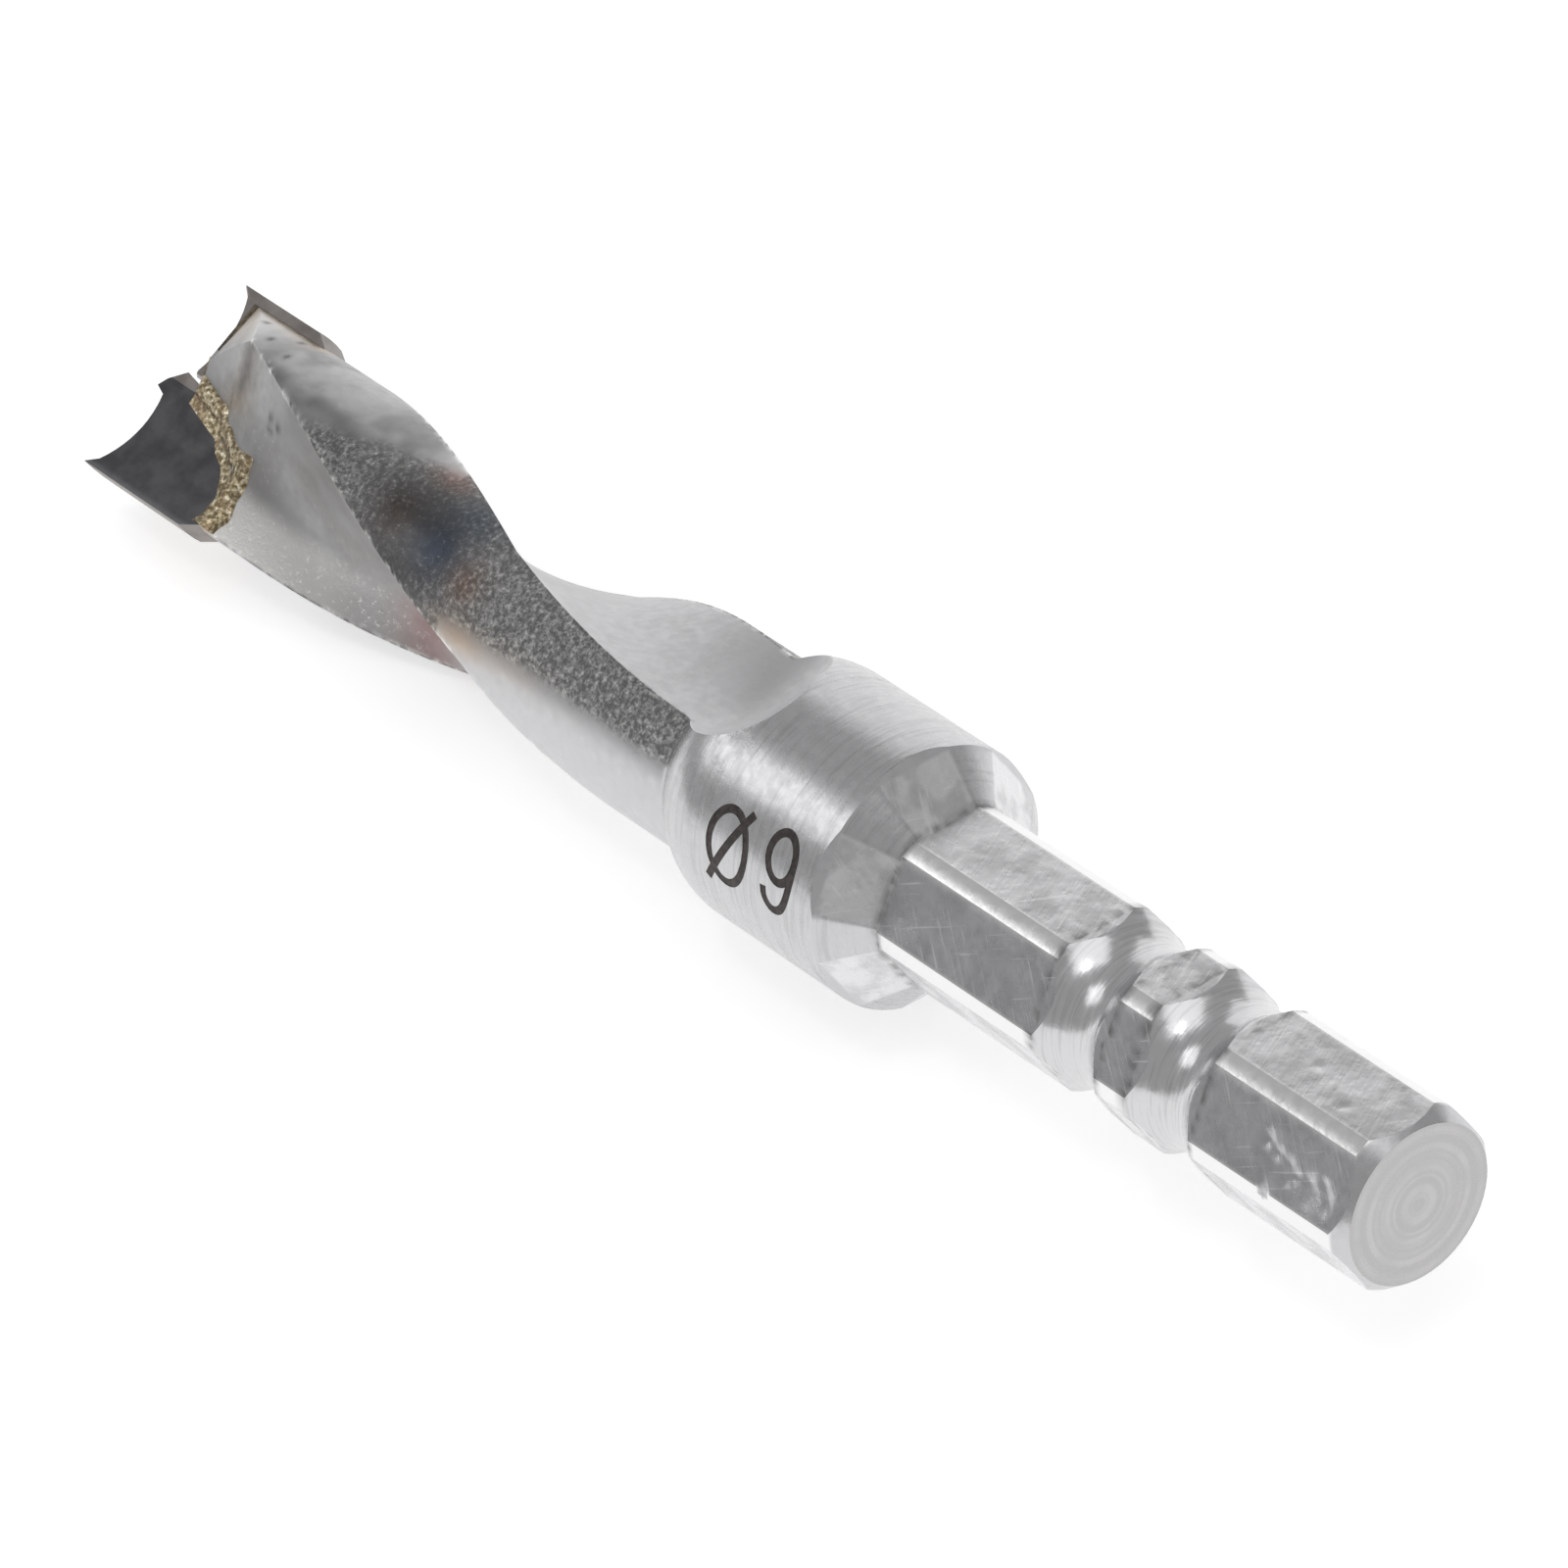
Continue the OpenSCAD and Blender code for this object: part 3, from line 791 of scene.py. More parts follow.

# %% [markdown]
# ## Painted shade at the rims, heat tints and stains
#
# A broken dark line of painted shade, like the darkening in a crease, runs where the flats meet the
# grooves and the cone. Brazing heat leaves oxide colours on the lands: a blue-black core with brown and
# copper round it, fading to straw. They lie on both lands, half a turn apart, and a few lie in the
# flutes, where the pits are too.

# %% Painted shade at the rims, and heat tints
RIM_AT, RIM_WIDE = 1.72, 0.08
ragged = 0.3 * (noise3(pos, 0.5, 16) - 0.5)
rim_shade = sum(np.exp(-((np.abs(px - g) - RIM_AT + ragged) / RIM_WIDE) ** 2) for g in GROOVES)
rim_shade = np.clip(rim_shade + np.exp(-((px - CONE_X) / 0.1) ** 2), 0, 1)
# Painted shade along the rims, like the darkening in a crease.
colour = mix(colour, [0.10, 0.098, 0.095], rim_shade * (0.15 + 0.5 * ease((speckled - 0.35) / 0.3)))
# The band painted dark: a painted reflection of dark surroundings over the blasted grain.
colour = mix(colour, [0.34, 0.338, 0.335], blast_and_dark_reflection * 0.85)
blot = 0.82 + 0.18 * noise3(pos, 0.7, 21)
HEAT = [  # colour, strength, middle (x, angle), width (x, angle)
    ((0.05, 0.05, 0.055), 0.9 * blot, (52.3, 132), (3.1, 42)),
    ((0.075, 0.058, 0.05), 0.85 * blot, (53.9, 128), (1.3, 17)),
    ((0.36, 0.22, 0.18), 0.6, (53.1, 95), (1.1, 8)),
    ((0.26, 0.155, 0.11), 0.65 * blot, (48.9, 140), (0.9, 12)),
    ((0.05, 0.065, 0.095), 0.8, (50.9, 133), (1.2, 16)),
    ((0.13, 0.16, 0.20), 0.6, (50.4, 108), (1.4, 12)),
    ((0.56, 0.41, 0.29), 0.7, (48.3, 166), (1.5, 8)),
    ((0.60, 0.50, 0.42), 0.35, (45.5, 164), (2.5, 8)),
]
for t in half_turns:
    for shade, strength, at, wide in HEAT:
        colour = mix(colour, shade, land * strength * spot(px, t, at, wide))
print("heat tints:", len(HEAT))

# %% [markdown]
# Beside each plate the land is stained by the braze. The stain fades with the depth below the
# plate's back, measured in the plate's frame. Pits are small dark spots. Each flute edge gets a broken
# line: a painted highlight along the heel and along the leading edge near the tip, and a dark line
# along the leading edge nearer the shank.

# %% Stains, pits and painted edge lines
IN_FLUTES = [  # colour, strength, middle, width
    ((0.27, 0.165, 0.155), 0.8, (54.2, 254), (1.9, 18)),
    ((0.34, 0.27, 0.20), 0.6, (66.6, 112), (1.3, 16)),
    ((0.10, 0.09, 0.085), 0.8, (66.2, 99), (0.6, 10)),
]
PITS = ((63.5, 117), (63.5, 124.6), (62.9, 121), (65.2, 68.1), (67.2, 70.7), (65.8, 82.3), (64.3, 87.4))
EDGE_HIGHLIGHT, DARK_EDGE_LINE = (0.95, 0.95, 0.93), (0.12, 0.12, 0.12)
for shade, strength, at, wide in IN_FLUTES:
    colour = mix(colour, shade, flute * strength * spot(px, theta, at, wide))
beside = turn(pos[:, 1:], -PLATE_TURN)
below = np.clip(RAKE_BACK - GAP - beside[:, 1] * np.sign(beside[:, 0]), 0, None)
stain = land * (px > FOOT_X - 0.6) * (np.abs(beside[:, 0]) > 2.5) * np.exp(-(below / 0.8) ** 2)
colour = mix(colour, [0.52, 0.42, 0.31], stain * 0.75)
for at in PITS:
    colour = mix(colour, [0.03, 0.028, 0.025], 0.9 * fluted * spot(px, theta, at, (0.13, 2.6)))
# Painted highlights along the heel edges and along the leading edges near the tip; between them a broken dark
# line.
colour = mix(colour, EDGE_HIGHLIGHT, 0.85 * heel_line * ease((speckled - 0.45) / 0.2))
colour = mix(colour, DARK_EDGE_LINE, 0.5 * lead_line * (px < 53) * ease((0.6 - speckled) / 0.3))
colour = mix(colour, EDGE_HIGHLIGHT, 0.8 * lead_line * (px > 53) * ease((speckled - 0.4) / 0.2))
print("tint from", colour.min().round(3), "to", colour.max().round(3))

# %% [markdown]
# ## Sparkle and roughness
#
# Sparkle tells the material where to put painted glints, grains painted bright as if they caught the
# light, on top of a stronger bump: in the dents, at the end of one flat by the cone, on the collar's
# rounded front and low in the flutes. Roughness is lowest on the rubbed corners and highest in the flutes.

# %% Sparkle and roughness
dents = spot(px, theta, (1.9, 172), (1.1, 11)) + 0.7 * spot(px, theta, (4.2, 186), (1.0, 6))
sparkle = flats * np.clip(dents + 0.8 * spot(px, theta, (23.6, 170), (0.7, 18)), 0, 1)
sparkle = sparkle + 0.8 * on_blank * spot(px, theta, (33.0, 131), (0.9, 22)) * (noise3(pos, 0.5, 15) > 0.4)
sparkle = sparkle + flute * np.maximum(1.2 * near_tip * low_side, 0.25 * ease((cloud - 0.5) / 0.2))
rough = 0.33 - 0.06 * (px < 36) * on_blank - 0.06 * grooves - 0.04 * flats - 0.06 * corners
rough = rough + 0.12 * flute + 0.02 * blast_and_dark_reflection
grainy = blast_and_dark_reflection * (1 - 0.9 * np.clip(smoke, 0, 1))
turned = np.maximum(((px > CONE_X) & (px < 36.2) & on_blank).astype(float), grooves)
print("roughness from", rough.min().round(2), "to", rough.max().round(2))

# %% [markdown]
# ## The steel body in the scene
#
# The painted values become attributes of the mesh, which the materials read. The fine body takes the
# place of the imported one and rides on the same body.

# %% Steel body
def paint(mesh, name, values):
    """Stores one number or one colour per vertex."""
    if values.ndim == 1:
        layer = mesh.attributes.new(name, "FLOAT", "POINT")
        layer.data.foreach_set("value", values.astype(np.float32))
    else:
        layer = mesh.attributes.new(name, "FLOAT_COLOR", "POINT")
        full = np.concatenate([values, np.ones((len(values), 1))], 1)
        layer.data.foreach_set("color", full.astype(np.float32).ravel())


def smooth(mesh, degrees):
    """Shades a mesh smooth, with its edges sharp past an angle."""
    mesh.polygons.foreach_set("use_smooth", np.ones(len(mesh.polygons), bool))
    mesh.set_sharp_from_angle(angle=math.radians(degrees))


steel = bpy.data.objects.new("steel_body_fine", steel_mesh)
bpy.context.scene.collection.objects.link(steel)
smooth(steel_mesh, 24)
paint(steel_mesh, "tint", colour)
paint(steel_mesh, "rough", rough)
paint(steel_mesh, "zones", np.stack([grainy, turned, flats], 1))
paint(steel_mesh, "sparkle", sparkle)
paint(steel_mesh, "end_face", end_face)
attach(steel, "root")
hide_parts("steel_body")
print("attributes:", [a.name for a in steel_mesh.attributes if not a.is_internal])

# %% [markdown]
# ## Braze
#
# On the real bit molten brass-coloured solder has run round each plate and set as a lumpy bead on the
# flute's wall. A displaced tube would float off that wall, so the bead grows out of the flute's own
# section. At distance x the section gives a point P(u) and a normal N(u) at the arc length u from the
# flute's corner, and the bead's skin is P + h N.

# %% The wall under a bead
BEAD_WIDE, FOOT_WIDE, BEAD_ROWS, BEAD_COLUMNS = 0.6, 1.0, 110, 72
BEAD_END = END_TOP + 0.12
BEAD_REACH = 1.3


def bead_section(x):
    """(points, normals, arc lengths) across the bead at x, in the plate's frame."""
    p = flute_curve(x)
    step = np.gradient(p, axis=0)
    step = step / np.linalg.norm(step, axis=1)[:, None]
    along = np.concatenate([[0], np.cumsum(np.hypot(*np.diff(p, axis=0).T))])
    along = along - along[len(p) // 2]
    first = int(np.argmax(np.hypot(p[:, 0], p[:, 1]) < BODY_R - 0.01))
    u = np.linspace(along[first], BEAD_REACH, BEAD_COLUMNS)
    points = np.stack([np.interp(u, along, p[:, k]) for k in (0, 1)], -1)
    normals = np.stack([np.interp(u, along, step[:, 1]), np.interp(u, along, -step[:, 0])], -1)
    return points, normals, u


def shell(top, bottom):
    """A closed mesh between two grids of points with the same rows and columns."""
    rows, columns = top.shape[:2]
    index = np.arange(rows * columns).reshape(rows, columns)
    quad = np.stack([index[:-1, :-1], index[1:, :-1], index[1:, 1:], index[:-1, 1:]], -1).reshape(-1, 4)
    rim = np.concatenate([index[0, :-1], index[:-1, -1], index[-1, :0:-1], index[:0:-1, 0]])
    ahead = np.roll(rim, -1)
    wall_faces = np.stack([rim, ahead, ahead + rows * columns, rim + rows * columns], -1)
    faces = np.concatenate([quad, quad[:, ::-1] + rows * columns, wall_faces])
    points = np.concatenate([top.reshape(-1, 3), bottom.reshape(-1, 3)]) * MM
    mesh = bpy.data.meshes.new("bead")
    mesh.from_pydata(points.tolist(), [], faces.tolist())
    mesh.update()
    return outward(mesh)


print("bead from", round(FOOT_X - FOOT_WIDE, 1), "to", round(BEAD_END, 1))

# %% [markdown]
# The height h grows as sqrt(d) with the distance d inside the bead's outline, which is an L round the
# plate's inner edge and its foot. Coarse noise moves the outline and makes lumps, and fine noise
# makes grains. Outside the outline the skin dives under the steel, so the bead has no visible rim.

# %% Height of a bead
BEAD_HIGH, GRAIN_HIGH, SUNK, ROOT_DEPTH = 0.16, 0.06, 0.08, 0.25
SWELL_OVER, GRAIN_OVER, PAST_CORNER = 0.28, 0.1, 0.16


def bead(side):
    """The bead round one plate."""
    x = np.linspace(FOOT_X - 1.6, BEAD_END + 0.05, BEAD_ROWS)
    points, normals, u = (np.stack(part) for part in zip(*(bead_section(v) for v in x)))
    xx = np.repeat(x[:, None], BEAD_COLUMNS, 1)
    on_wall = np.concatenate([xx[..., None], points], -1).reshape(-1, 3)
    lumps = noise3(on_wall, 0.75, 31 + side).reshape(xx.shape)
    grains = noise3(on_wall, 0.16, 41 + side).reshape(xx.shape)
    wide = BEAD_WIDE * (0.8 + 0.4 * lumps)
    low = FOOT_X - FOOT_WIDE * (0.75 + 0.4 * lumps)
    strip = np.minimum(np.minimum(u + PAST_CORNER, wide - u), xx - low)
    foot = np.minimum(np.minimum(FOOT_X + 0.1 - xx, wide - u), xx - low)
    inside = np.minimum(np.maximum(strip, foot), (BEAD_END - xx) * 0.8)
    dome = BEAD_HIGH * np.sqrt(np.clip(inside / SWELL_OVER, 0, 1)) * (0.7 + 0.6 * lumps)
    grainy_skin = GRAIN_HIGH * (grains - 0.4) * np.clip(inside / GRAIN_OVER, 0, 1)
    height = np.where(inside > 0, dome + grainy_skin, np.maximum(inside * 0.8, -SUNK))
    top = np.concatenate([xx[..., None], points + normals * height[..., None]], -1)
    bottom = np.concatenate([xx[..., None], points - normals * ROOT_DEPTH], -1)
    return shell(placed(top, side), placed(bottom, side))


brazes = []
for side in (0, 1):
    parts = bmesh.new()
    parts.from_mesh(layers[side])
    parts.from_mesh(bead(side))
    mesh = bpy.data.meshes.new("braze_visual")
    parts.to_mesh(mesh)
    parts.free()
    smooth(mesh, 50)
    o = bpy.data.objects.new(f"braze_bead_{side + 1}", mesh)
    bpy.context.scene.collection.objects.link(o)
    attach(o, "root")
    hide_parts(f"braze_seam_{side + 1}")
    brazes.append(o)
    print(o.name, len(mesh.polygons), "faces")

# %% [markdown]
# ## Materials
#
# All patterns are procedural and read the object's own coordinates, so that they stay put from every
# side. A material is a tree of nodes joined socket to socket. The first helpers add a node, set or
# join a socket, and start a material with its shader.

# %% Starting a material
def add_node(tree, kind, **settings):
    """A new node with some of its properties set."""
    n = tree.nodes.new(kind)
    for name, value in settings.items():
        setattr(n, name, value)
    return n


def feed(tree, socket, value):
    """Sets a socket to a number, a tuple or another node's output."""
    if isinstance(value, (int, float)):
        socket.default_value = value
    elif isinstance(value, tuple):
        socket.default_value = (*value, 1) if len(socket.default_value) > len(value) else value
    else:
        tree.links.new(value, socket)


def material(name, colour, metallic, roughness):
    """A material with its tree, its shader and the object's coordinates."""
    m = bpy.data.materials.new(name)
    m.use_nodes = True
    bsdf = m.node_tree.nodes["Principled BSDF"]
    for socket, value in (("Base Color", colour), ("Metallic", metallic), ("Roughness", roughness)):
        feed(m.node_tree, bsdf.inputs[socket], value)
    return m, m.node_tree, bsdf, add_node(m.node_tree, "ShaderNodeTexCoord").outputs["Object"]


print("helpers:", [f.__name__ for f in (add_node, feed, material)])

# %% [markdown]
# The painted masks come in through attribute nodes, and sums join them. Multiplying two masks keeps
# what lies in both, so a pattern times a mask shows only there.

# %% Reading masks and multiplying them
def attribute(tree, name):
    """The node that reads a painted attribute."""
    return add_node(tree, "ShaderNodeAttribute", attribute_name=name)


def zones(tree, name):
    """The three masks packed in one painted colour."""
    n = add_node(tree, "ShaderNodeSeparateColor")
    tree.links.new(attribute(tree, name).outputs["Color"], n.inputs["Color"])
    return n.outputs[0], n.outputs[1], n.outputs[2]


def math_node(tree, operation, a, b):
    """One operation on two values."""
    n = add_node(tree, "ShaderNodeMath", operation=operation)
    feed(tree, n.inputs[0], a)
    feed(tree, n.inputs[1], b)
    return n.outputs[0]


def times(tree, *values):
    """The product of several values."""
    out = values[0]
    for v in values[1:]:
        out = math_node(tree, "MULTIPLY", out, v)
    return out


print("helpers:", [f.__name__ for f in (attribute, zones, math_node, times)])

# %% [markdown]
# A noise can be stretched along one direction to look like brushing or milling: a Mapping node set to
# Texture scales and turns the coordinates first. A spread turns part of its range into a mask.

# %% Noise and masks from it
def noise(tree, coords, scale, detail=3.0, stretch=None, turned_by=(0, 0, 0), harsh=0.5):
    """A noise texture, stretched and turned if asked."""
    if stretch:
        m = add_node(tree, "ShaderNodeMapping", vector_type="TEXTURE")
        m.inputs["Rotation"].default_value = turned_by
        m.inputs["Scale"].default_value = [1 / v for v in stretch]
        tree.links.new(coords, m.inputs["Vector"])
        coords = m.outputs["Vector"]
    n = add_node(tree, "ShaderNodeTexNoise")
    for socket, value in (("Scale", scale), ("Detail", detail), ("Roughness", harsh), ("Vector", coords)):
        feed(tree, n.inputs[socket], value)
    return n.outputs["Fac"]


def spread(tree, value, low, high, to_low=0.0, to_high=1.0):
    """Maps a value smoothly from low..high to another span."""
    n = add_node(tree, "ShaderNodeMapRange", interpolation_type="SMOOTHSTEP")
    for name, number in (("From Min", low), ("From Max", high), ("To Min", to_low), ("To Max", to_high)):
        feed(tree, n.inputs[name], number)
    feed(tree, n.inputs["Value"], value)
    return n.outputs["Result"]


print("patterns:", [f.__name__ for f in (noise, spread)])

# %% [markdown]
# A pattern reaches the eye in two ways: it mixes two colours, and it tilts the surface as a bump. A
# bump can take an earlier bump's normal, so several can be stacked.

# %% Mixing and bumping
def blend_colour(tree, factor, a, b, mode="MIX"):
    """Mixes two colours by a factor."""
    n = add_node(tree, "ShaderNodeMix", data_type="RGBA", blend_type=mode)
    for place, value in ((0, factor), (6, a), (7, b)):
        feed(tree, n.inputs[place], value)
    return n.outputs[2]


def bump(tree, height, strength, distance, before=None):
    """Bumps the normal by a height, on top of an earlier bump."""
    n = add_node(tree, "ShaderNodeBump")
    feed(tree, n.inputs["Strength"], strength)
    feed(tree, n.inputs["Distance"], distance)
    feed(tree, n.inputs["Height"], height)
    if before:
        feed(tree, n.inputs["Normal"], before)
    return n.outputs["Normal"]


print("surface helpers:", [f.__name__ for f in (blend_colour, bump)])

# %% [markdown]
# Faced and ground surfaces need a place measured from the axis. The axis is X, so leaving x out of the
# coordinates and taking the length of the rest gives the distance.

# %% Distance from the axis
def vector_node(tree, operation, a, b=None):
    """One operation on a vector."""
    n = add_node(tree, "ShaderNodeVectorMath", operation=operation)
    tree.links.new(a, n.inputs[0])
    if b is not None:
        n.inputs[1].default_value = b
    return n.outputs["Value"] if operation in ("LENGTH", "DOT_PRODUCT") else n.outputs["Vector"]


def axis_distance(tree, coords):
    """Distance from the bit's axis."""
    return vector_node(tree, "LENGTH", vector_node(tree, "MULTIPLY", coords, (0, 1, 1)))


print("vector helpers:", [f.__name__ for f in (vector_node, axis_distance)])

# %% [markdown]
# ## Milled steel
#
# One metal covers the whole body, and the masks choose its texture: blasted grain on the lands, fine
# rings on turned faces, crossed scratches on the flats, and faint circles on the end face. Each
# pattern changes the colour a little and bumps the surface, because bare bumps vanish in soft light.

# %% Patterns of the steel
steel_mat, tree, bsdf, coords = material("milled_steel", (0.6, 0.6, 0.61), 1.0, 0.35)
grain_mask, turned_mask, flat_mask = zones(tree, "zones")
sparkle_mask = attribute(tree, "sparkle").outputs["Fac"]
end_mask = attribute(tree, "end_face").outputs["Fac"]
grain = noise(tree, coords, 4600, 5, harsh=0.75)
fine = noise(tree, coords, 2600, 4)
cloudy = noise(tree, coords, 750, 3)
rings = noise(tree, coords, 1.0, 3, (7000, 350, 350))
milled = noise(tree, coords, 1.0, 3, (6500, 260, 260), (0.3, 0.5, 0.6), 0.7)
crossed = noise(tree, coords, 1.0, 2, (7500, 330, 330), (0.2, -0.9, -0.8), 0.6)
facing_at = add_node(tree, "ShaderNodeCombineXYZ")
tree.links.new(axis_distance(tree, coords), facing_at.inputs["X"])
facing = noise(tree, facing_at.outputs["Vector"], 2600, 3)
print("patterns:", sum(n.type == "TEX_NOISE" for n in tree.nodes))

# %% [markdown]
# The painted tint comes first. Blasting multiplies it by dark and bright grains, partly their own tone
# and partly painted shade and light, then painted glints are laid on; every later pattern is blended
# over it inside its own mask, the pale scratches last because they were made last.

# %% Colour of the steel
GLINT_WHITE, DULL = (0.95, 0.95, 0.93), (0.28, 0.28, 0.28)
tint = attribute(tree, "tint").outputs["Color"]
# The grains' own uneven tone, with painted shade and light on them, multiplied into the band's tint.
grain_tone_and_shading = blend_colour(tree, spread(tree, grain, 0.41, 0.61), DULL, (1.15, 1.15, 1.14))
colour = blend_colour(tree, times(tree, grain_mask, 0.8), tint, grain_tone_and_shading, "MULTIPLY")
# Painted glints: bright flecks of colour where the grain noise is high, in the sparkle places and on the
# band.
painted_glints = math_node(tree, "MAXIMUM", times(tree, sparkle_mask, 0.8), times(tree, grain_mask, 0.5))
colour = blend_colour(tree, times(tree, spread(tree, grain, 0.57, 0.66), painted_glints, 0.8), colour, GLINT_WHITE)
colour = blend_colour(tree, times(tree, turned_mask, spread(tree, rings, 0.48, 0.66), 0.22), colour, DULL)
faced = times(tree, spread(tree, facing, 0.42, 0.58), spread(tree, cloudy, 0.35, 0.6, 0.4, 1.0))
colour = blend_colour(tree, times(tree, end_mask, faced, 0.22), colour, (0.74, 0.73, 0.73))
wiped = times(tree, flat_mask, spread(tree, cloudy, 0.42, 0.62))
colour = blend_colour(tree, times(tree, wiped, 0.4), colour, (0.36, 0.36, 0.365))
lines = math_node(tree, "MAXIMUM", spread(tree, milled, 0.60, 0.70), spread(tree, crossed, 0.64, 0.72))
colour = blend_colour(tree, times(tree, flat_mask, lines, 0.45), colour, (0.92, 0.92, 0.92))
tree.links.new(colour, bsdf.inputs["Base Color"])
print("colour nodes:", sum(n.type == "MIX" for n in tree.nodes))

# %% [markdown]
# The same patterns bump the surface, each chained on the one before. Distances are in metres, so the
# grain is at most 0.07 mm high. A fine noise makes the roughness uneven, as on any handled tool.

# %% Roughness and bumps of the steel
uneven = times(tree, math_node(tree, "SUBTRACT", fine, 0.5), 0.3)
rough_at = attribute(tree, "rough").outputs["Fac"]
tree.links.new(math_node(tree, "ADD", rough_at, uneven), bsdf.inputs["Roughness"])
pitted = math_node(tree, "MAXIMUM", grain_mask, times(tree, sparkle_mask, 0.5))
normal = None
for height, strength, distance in (
    (grain, times(tree, pitted, 0.9), 0.00007),
    (rings, times(tree, turned_mask, 0.35), 0.00002),
    (milled, times(tree, flat_mask, 0.5), 0.00003),
    (cloudy, times(tree, flat_mask, 0.5), 0.0001),
    (facing, times(tree, end_mask, 0.6), 0.00004),
    (fine, 0.2, 0.00003),
):
    normal = bump(tree, height, strength, distance, normal)
tree.links.new(normal, bsdf.inputs["Normal"])
print("bumps:", sum(n.type == "BUMP" for n in tree.nodes))

# %% [markdown]
# ## The burnt mark
#
# The mark's sunk faces get a material of their own, a dull dark scale. They are found by their depth
# under the collar's surface, inside the window on the unrolled collar where the strokes lie.

# %% Material of the mark
mark_mat, tree, bsdf, coords = material("burnt_mark", (0.05, 0.04, 0.038), 0.3, 0.55)
patchy = spread(tree, noise(tree, coords, 5000, 3), 0.3, 0.7)
scale_colour = blend_colour(tree, patchy, (0.075, 0.06, 0.056), (0.03, 0.025, 0.024))
tree.links.new(scale_colour, bsdf.inputs["Base Color"])
steel_mesh.materials.clear()
steel_mesh.materials.append(steel_mat)
steel_mesh.materials.append(mark_mat)
centre = np.empty(len(steel_mesh.polygons) * 3)
steel_mesh.polygons.foreach_get("center", centre)
centre = centre.reshape(-1, 3) / MM
depth = COLLAR_R - np.hypot(centre[:, 1], centre[:, 2])
arc = (np.arctan2(centre[:, 2], -centre[:, 1]) - MARK_FROM) * COLLAR_R
in_window = (np.abs(centre[:, 0] - 29.9) < 2.6) & (arc > 2.2) & (arc < 6.6)
in_mark = in_window & (depth > 0.4 * MARK_DEPTH) & (depth < 2 * MARK_DEPTH)
steel_mesh.polygons.foreach_set("material_index", in_mark.astype(np.int32))
print("faces in the mark:", int(in_mark.sum()))

# %% [markdown]
# ## Carbide
#
# The plates are sintered carbide: a dark satin cutting face, and paler sides where a grinding wheel
# has run. Which is which follows from the height over the axis along the plate's own normal, turned
# round for the plate on the other side. A small bevel catches the light on the edges.

# %% Material of the plates
PLATE_BEVEL = 0.025
carbide_mat, tree, bsdf, coords = material("carbide", (0.10, 0.10, 0.105), 1.0, 0.42)
face_up = tuple(placed([[0, 0, 1]], 0)[0])
edge_way = tuple(placed([[0, 1, 0]], 0)[0])
which = math_node(tree, "SIGN", vector_node(tree, "DOT_PRODUCT", coords, edge_way), 0)
level_at = times(tree, vector_node(tree, "DOT_PRODUCT", coords, face_up), which)
on_face = spread(tree, level_at, (RAKE - 0.06) * MM, (RAKE - 0.02) * MM)
rim = spread(tree, axis_distance(tree, coords), 4.2 * MM, 4.45 * MM)
mottle = spread(tree, noise(tree, coords, 900, 4), 0.3, 0.7)
dark = blend_colour(tree, mottle, (0.075, 0.075, 0.08), (0.125, 0.125, 0.13))
dark = blend_colour(tree, times(tree, rim, 0.35), dark, (0.30, 0.30, 0.31))
pale = blend_colour(tree, mottle, (0.22, 0.20, 0.19), (0.32, 0.295, 0.28))
tree.links.new(blend_colour(tree, on_face, pale, dark), bsdf.inputs["Base Color"])
normal = bump(tree, noise(tree, coords, 1.0, 3, (700, 9000, 9000)), 0.25, 0.00001)
normal = bump(tree, noise(tree, coords, 6000, 3), 0.25, 0.00002, normal)
tree.links.new(normal, bsdf.inputs["Normal"])
for name in ("carbide_tip_1", "carbide_tip_2"):
    o = nodes[name]
    o.data.materials.clear()
    o.data.materials.append(carbide_mat)
    m = o.modifiers.new("edge", "BEVEL")
    m.width, m.segments, m.limit_method, m.angle_limit = PLATE_BEVEL * MM, 2, "ANGLE", math.radians(30)
print("plates bevelled by", PLATE_BEVEL, "mm")

# %% [markdown]
# ## Braze metal
#
# The solder is a rough brass. Its grains are painted dark in the hollows as painted shade and nearly
# white on top as painted highlights, with brown stains of flux between them.

# %% Material of the braze
braze_mat, tree, bsdf, coords = material("braze", (0.55, 0.44, 0.24), 1.0, 0.32)
grain = noise(tree, coords, 5200, 3)
flux = spread(tree, noise(tree, coords, 1100, 3), 0.45, 0.7)
# Painted shade: the grains turn dark where the grain noise, which also makes the bump, is low.
colour = blend_colour(tree, spread(tree, grain, 0.38, 0.6), (0.20, 0.155, 0.09), (0.60, 0.51, 0.34))
# Painted highlights: nearly white where the grain noise is high.
colour = blend_colour(tree, spread(tree, grain, 0.58, 0.68), colour, (1.0, 0.94, 0.78))
colour = blend_colour(tree, times(tree, flux, 0.6), colour, (0.33, 0.23, 0.14))
tree.links.new(colour, bsdf.inputs["Base Color"])
tree.links.new(bump(tree, grain, 0.9, 0.00008), bsdf.inputs["Normal"])
for o in brazes:
    o.data.materials.clear()
    o.data.materials.append(braze_mat)
print("materials:", [m.name for m in bpy.data.materials])

# %% [markdown]
# ## Camera
#
# The camera was found by fitting known edges of the bit to the photograph. Camera and lights are
# placed in the photograph's level frame and turned with the bit by `STUDIO`, so that the view stays
# the photograph's while the bit rests as it would by itself.

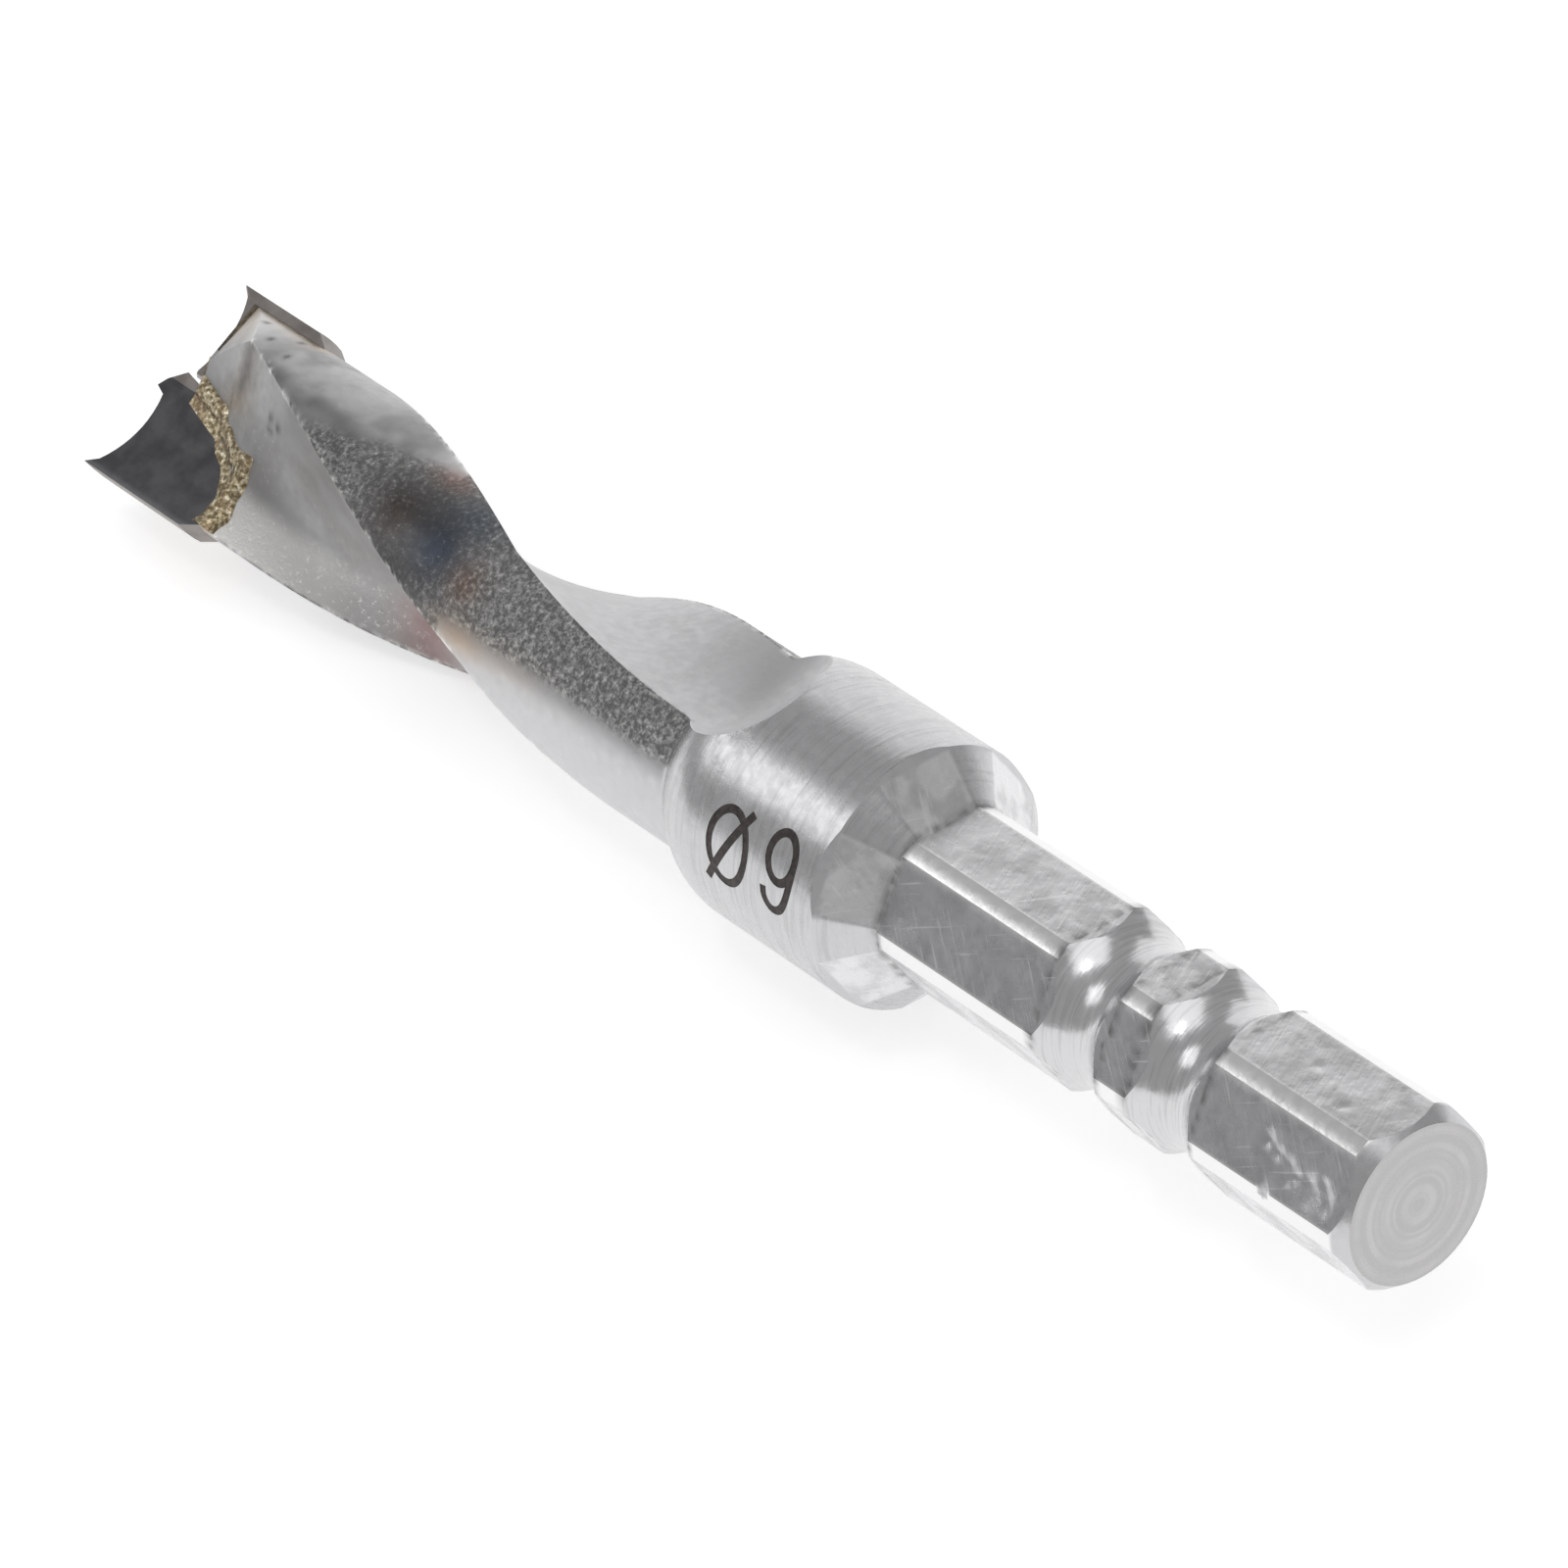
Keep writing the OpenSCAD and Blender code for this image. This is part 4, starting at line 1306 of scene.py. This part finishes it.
# %% Camera
AZIMUTH, ELEVATION = 231.773, 31.428
EYE = (-0.236687, 0.213463, 0.210815)
STUDIO = Matrix.Rotation(math.radians(LIE), 4, "X")
scene = bpy.context.scene
camera_data = bpy.data.cameras.new("camera")
camera_data.lens, camera_data.sensor_width = 261.8, 36.0
camera_data.clip_start, camera_data.clip_end = 0.01, 10
camera = bpy.data.objects.new("camera", camera_data)
scene.collection.objects.link(camera)
level = Euler((math.radians(90 - ELEVATION), 0, math.radians(AZIMUTH)))
camera.matrix_world = STUDIO @ Matrix.LocRotScale(Vector(EYE), level, None)
scene.camera = camera
print("camera at", [round(v, 3) for v in camera.matrix_world.translation])

# %% [markdown]
# ## Floor
#
# The bit lies on its collar and on the widest place near its tip, which stand off the axis by
# different amounts, so the floor leans a little. Its slope is the one at which both just touch, found
# by trying a row of slopes.

# %% Floor
FLOOR_HALF, FLOOR_CLEARANCE = 1.5, 0.01
tips = [coordinates(nodes[name].data) for name in ("carbide_tip_1", "carbide_tip_2")]
solid = np.concatenate([coordinates(steel_mesh)] + tips)
back, tip = solid[solid[:, 0] < 40], solid[solid[:, 0] > 45]
slopes = np.linspace(0.0, 0.08, 401)
reach = np.array([(back[:, 2] - q * back[:, 0]).min() - (tip[:, 2] - q * tip[:, 0]).min() for q in slopes])
lean = slopes[np.argmin(np.abs(reach))]
floor_z = (solid[:, 2] - lean * solid[:, 0]).min() - FLOOR_CLEARANCE
signs = ((-1, -1), (1, -1), (1, 1), (-1, 1))
floor_points = [(i * FLOOR_HALF, j * FLOOR_HALF, floor_z * MM + lean * i * FLOOR_HALF) for i, j in signs]
floor_data = bpy.data.meshes.new("floor")
floor_data.from_pydata(floor_points, [], [(0, 1, 2, 3)])
floor = bpy.data.objects.new("floor", floor_data)
scene.collection.objects.link(floor)
floor_mat, tree, bsdf, coords = material("floor", (0.8, 0.8, 0.8), 0.0, 0.9)
feed(tree, bsdf.inputs["Emission Color"], (1.0, 1.0, 1.0))
feed(tree, bsdf.inputs["Emission Strength"], 0.55)
floor_data.materials.append(floor_mat)
print("floor leans", round(math.degrees(math.atan(lean)), 2), "degrees")

# %% [markdown]
# ## Light
#
# Bare metal shows what is round it more than its own colour. Three wide, dim softboxes give the broad
# greys, one small bright lamp gives the hard glints on the grooves, and the world fills the rest.

# %% Lights
LAMP_DISTANCE, LAMP_AIM = 0.7, Vector((0.035, 0, 0))
WORLD_STRENGTH = 0.42


def softbox(name, azimuth, elevation, wide, high, radiance):
    """An area light seen from the bit at an angle of the level frame, azimuth from +X."""
    a, e = math.radians(azimuth), math.radians(elevation)
    direction = Vector((math.cos(a) * math.cos(e), math.sin(a) * math.cos(e), math.sin(e)))
    data = bpy.data.lights.new(name, "AREA")
    data.shape = "RECTANGLE"
    data.size = 2 * LAMP_DISTANCE * math.tan(math.radians(wide / 2))
    data.size_y = 2 * LAMP_DISTANCE * math.tan(math.radians(high / 2))
    data.energy = math.pi * radiance * data.size * data.size_y
    o = bpy.data.objects.new(name, data)
    place = LAMP_AIM + direction * LAMP_DISTANCE
    o.matrix_world = STUDIO @ Matrix.LocRotScale(place, direction.to_track_quat("Z", "Y"), None)
    scene.collection.objects.link(o)


softbox("key", 40, 28, 24, 22, 1.2)
softbox("back", -42, 20, 34, 44, 0.6)
softbox("top", 130, 75, 50, 50, 0.8)
softbox("spark", 90, 62, 7, 7, 9.0)
world = bpy.data.worlds.new("world")
world.use_nodes = True
world.node_tree.nodes["Background"].inputs["Color"].default_value = (1, 1, 1, 1)
world.node_tree.nodes["Background"].inputs["Strength"].default_value = WORLD_STRENGTH
scene.world = world
scene.view_settings.view_transform = "Standard"
